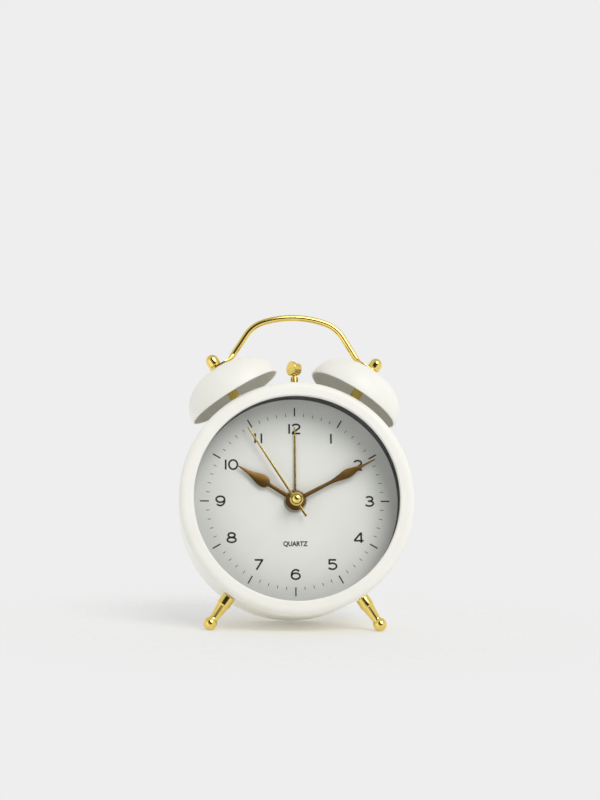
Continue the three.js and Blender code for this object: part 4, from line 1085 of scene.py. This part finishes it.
def surroundings():
    """A pale backdrop, and round the clock a bright room with one dark panel behind the viewer."""
    world = bpy.data.worlds.new("studio")
    bpy.context.scene.world = world
    world.use_nodes = True
    tree = world.node_tree
    tree.nodes.clear()
    place = node(tree, "ShaderNodeTexCoord")
    facing = node(tree, "ShaderNodeVectorMath", operation="DOT_PRODUCT")
    facing.inputs[1].default_value = PANEL_TOWARDS
    height = node(tree, "ShaderNodeSeparateXYZ")
    shade = remapped(tree, facing.outputs["Value"], PANEL_EDGE, PANEL_LIGHT, smooth=True)
    sky = remapped(tree, height.outputs["Z"], SKY_HEIGHT, SKY_LIGHT)
    strength = node(tree, "ShaderNodeMath", operation="MULTIPLY")
    room = node(tree, "ShaderNodeBackground", Color=(1.0, 1.0, 0.985, 1))
    backdrop = node(tree, "ShaderNodeBackground", Color=(PALE, PALE, PALE, 1))
    path = node(tree, "ShaderNodeLightPath")
    mix = node(tree, "ShaderNodeMixShader")
    out = node(tree, "ShaderNodeOutputWorld")
    tree.links.new(place.outputs["Generated"], facing.inputs[0])
    tree.links.new(place.outputs["Generated"], height.inputs["Vector"])
    tree.links.new(shade, strength.inputs[0])
    tree.links.new(sky, strength.inputs[1])
    tree.links.new(strength.outputs["Value"], room.inputs["Strength"])
    tree.links.new(path.outputs["Is Camera Ray"], mix.inputs["Fac"])
    tree.links.new(room.outputs["Background"], mix.inputs[1])
    tree.links.new(backdrop.outputs["Background"], mix.inputs[2])
    tree.links.new(mix.outputs["Shader"], out.inputs["Surface"])


def floor():
    """A pale floor that fades into the backdrop away from the clock, with a darker, yellower painted shadow in its
    colour near its middle, under the clock.
    """
    body = lathe([(0, 0), (FLOOR_RADIUS, 0)], 96)
    body.transform(Matrix.Scale(MM, 4))
    mesh = bpy.data.meshes.new("floor")
    body.to_mesh(mesh)
    body.free()
    ground = bpy.data.objects.new("floor", mesh)
    bpy.context.scene.collection.objects.link(ground)
    pale = surface("floor_paper", [(0.81, 0.81, 0.805), (0.825, 0.825, 0.82)], (0.85, 0.95),
                   mottle=60, grain=2, relief=0.02)
    tree = pale.node_tree
    shader = tree.nodes["Principled BSDF"]
    shader.inputs["Specular IOR Level"].default_value = 0.1
    place = node(tree, "ShaderNodeTexCoord")
    length = node(tree, "ShaderNodeVectorMath", operation="LENGTH")
    tree.links.new(place.outputs["Object"], length.inputs[0])
    away = length.outputs["Value"]
    fade = remapped(tree, away, (0.0, FLOOR_REACH), (FLOOR_OPACITY, 0.0))
    tree.links.new(fade, shader.inputs["Alpha"])
    # painted shadow: the floor's base colour is mixed towards the darker, yellower tone near its middle
    painted_shadow = node(tree, "ShaderNodeMixRGB")
    painted_shadow.inputs["Color2"].default_value = PAINTED_SHADOW_TONE
    painted_shadow_mask = remapped(tree, away, PAINTED_SHADOW_REACH, (1.0, 0.0), smooth=True)
    tree.links.new(painted_shadow_mask, painted_shadow.inputs["Fac"])
    tree.links.new(shader.inputs["Base Color"].links[0].from_socket, painted_shadow.inputs["Color1"])
    tree.links.new(painted_shadow.outputs["Color"], shader.inputs["Base Color"])
    ground.data.materials.append(pale)


case()
lens()
seals()
dial()
hands()
bells()
posts()
handle()
legs()
hammer()
cover()
knobs()
door()
switch()
screws()
carried_over()
camera()
lights()
surroundings()
floor()
bpy.context.scene.view_settings.view_transform = "Standard"
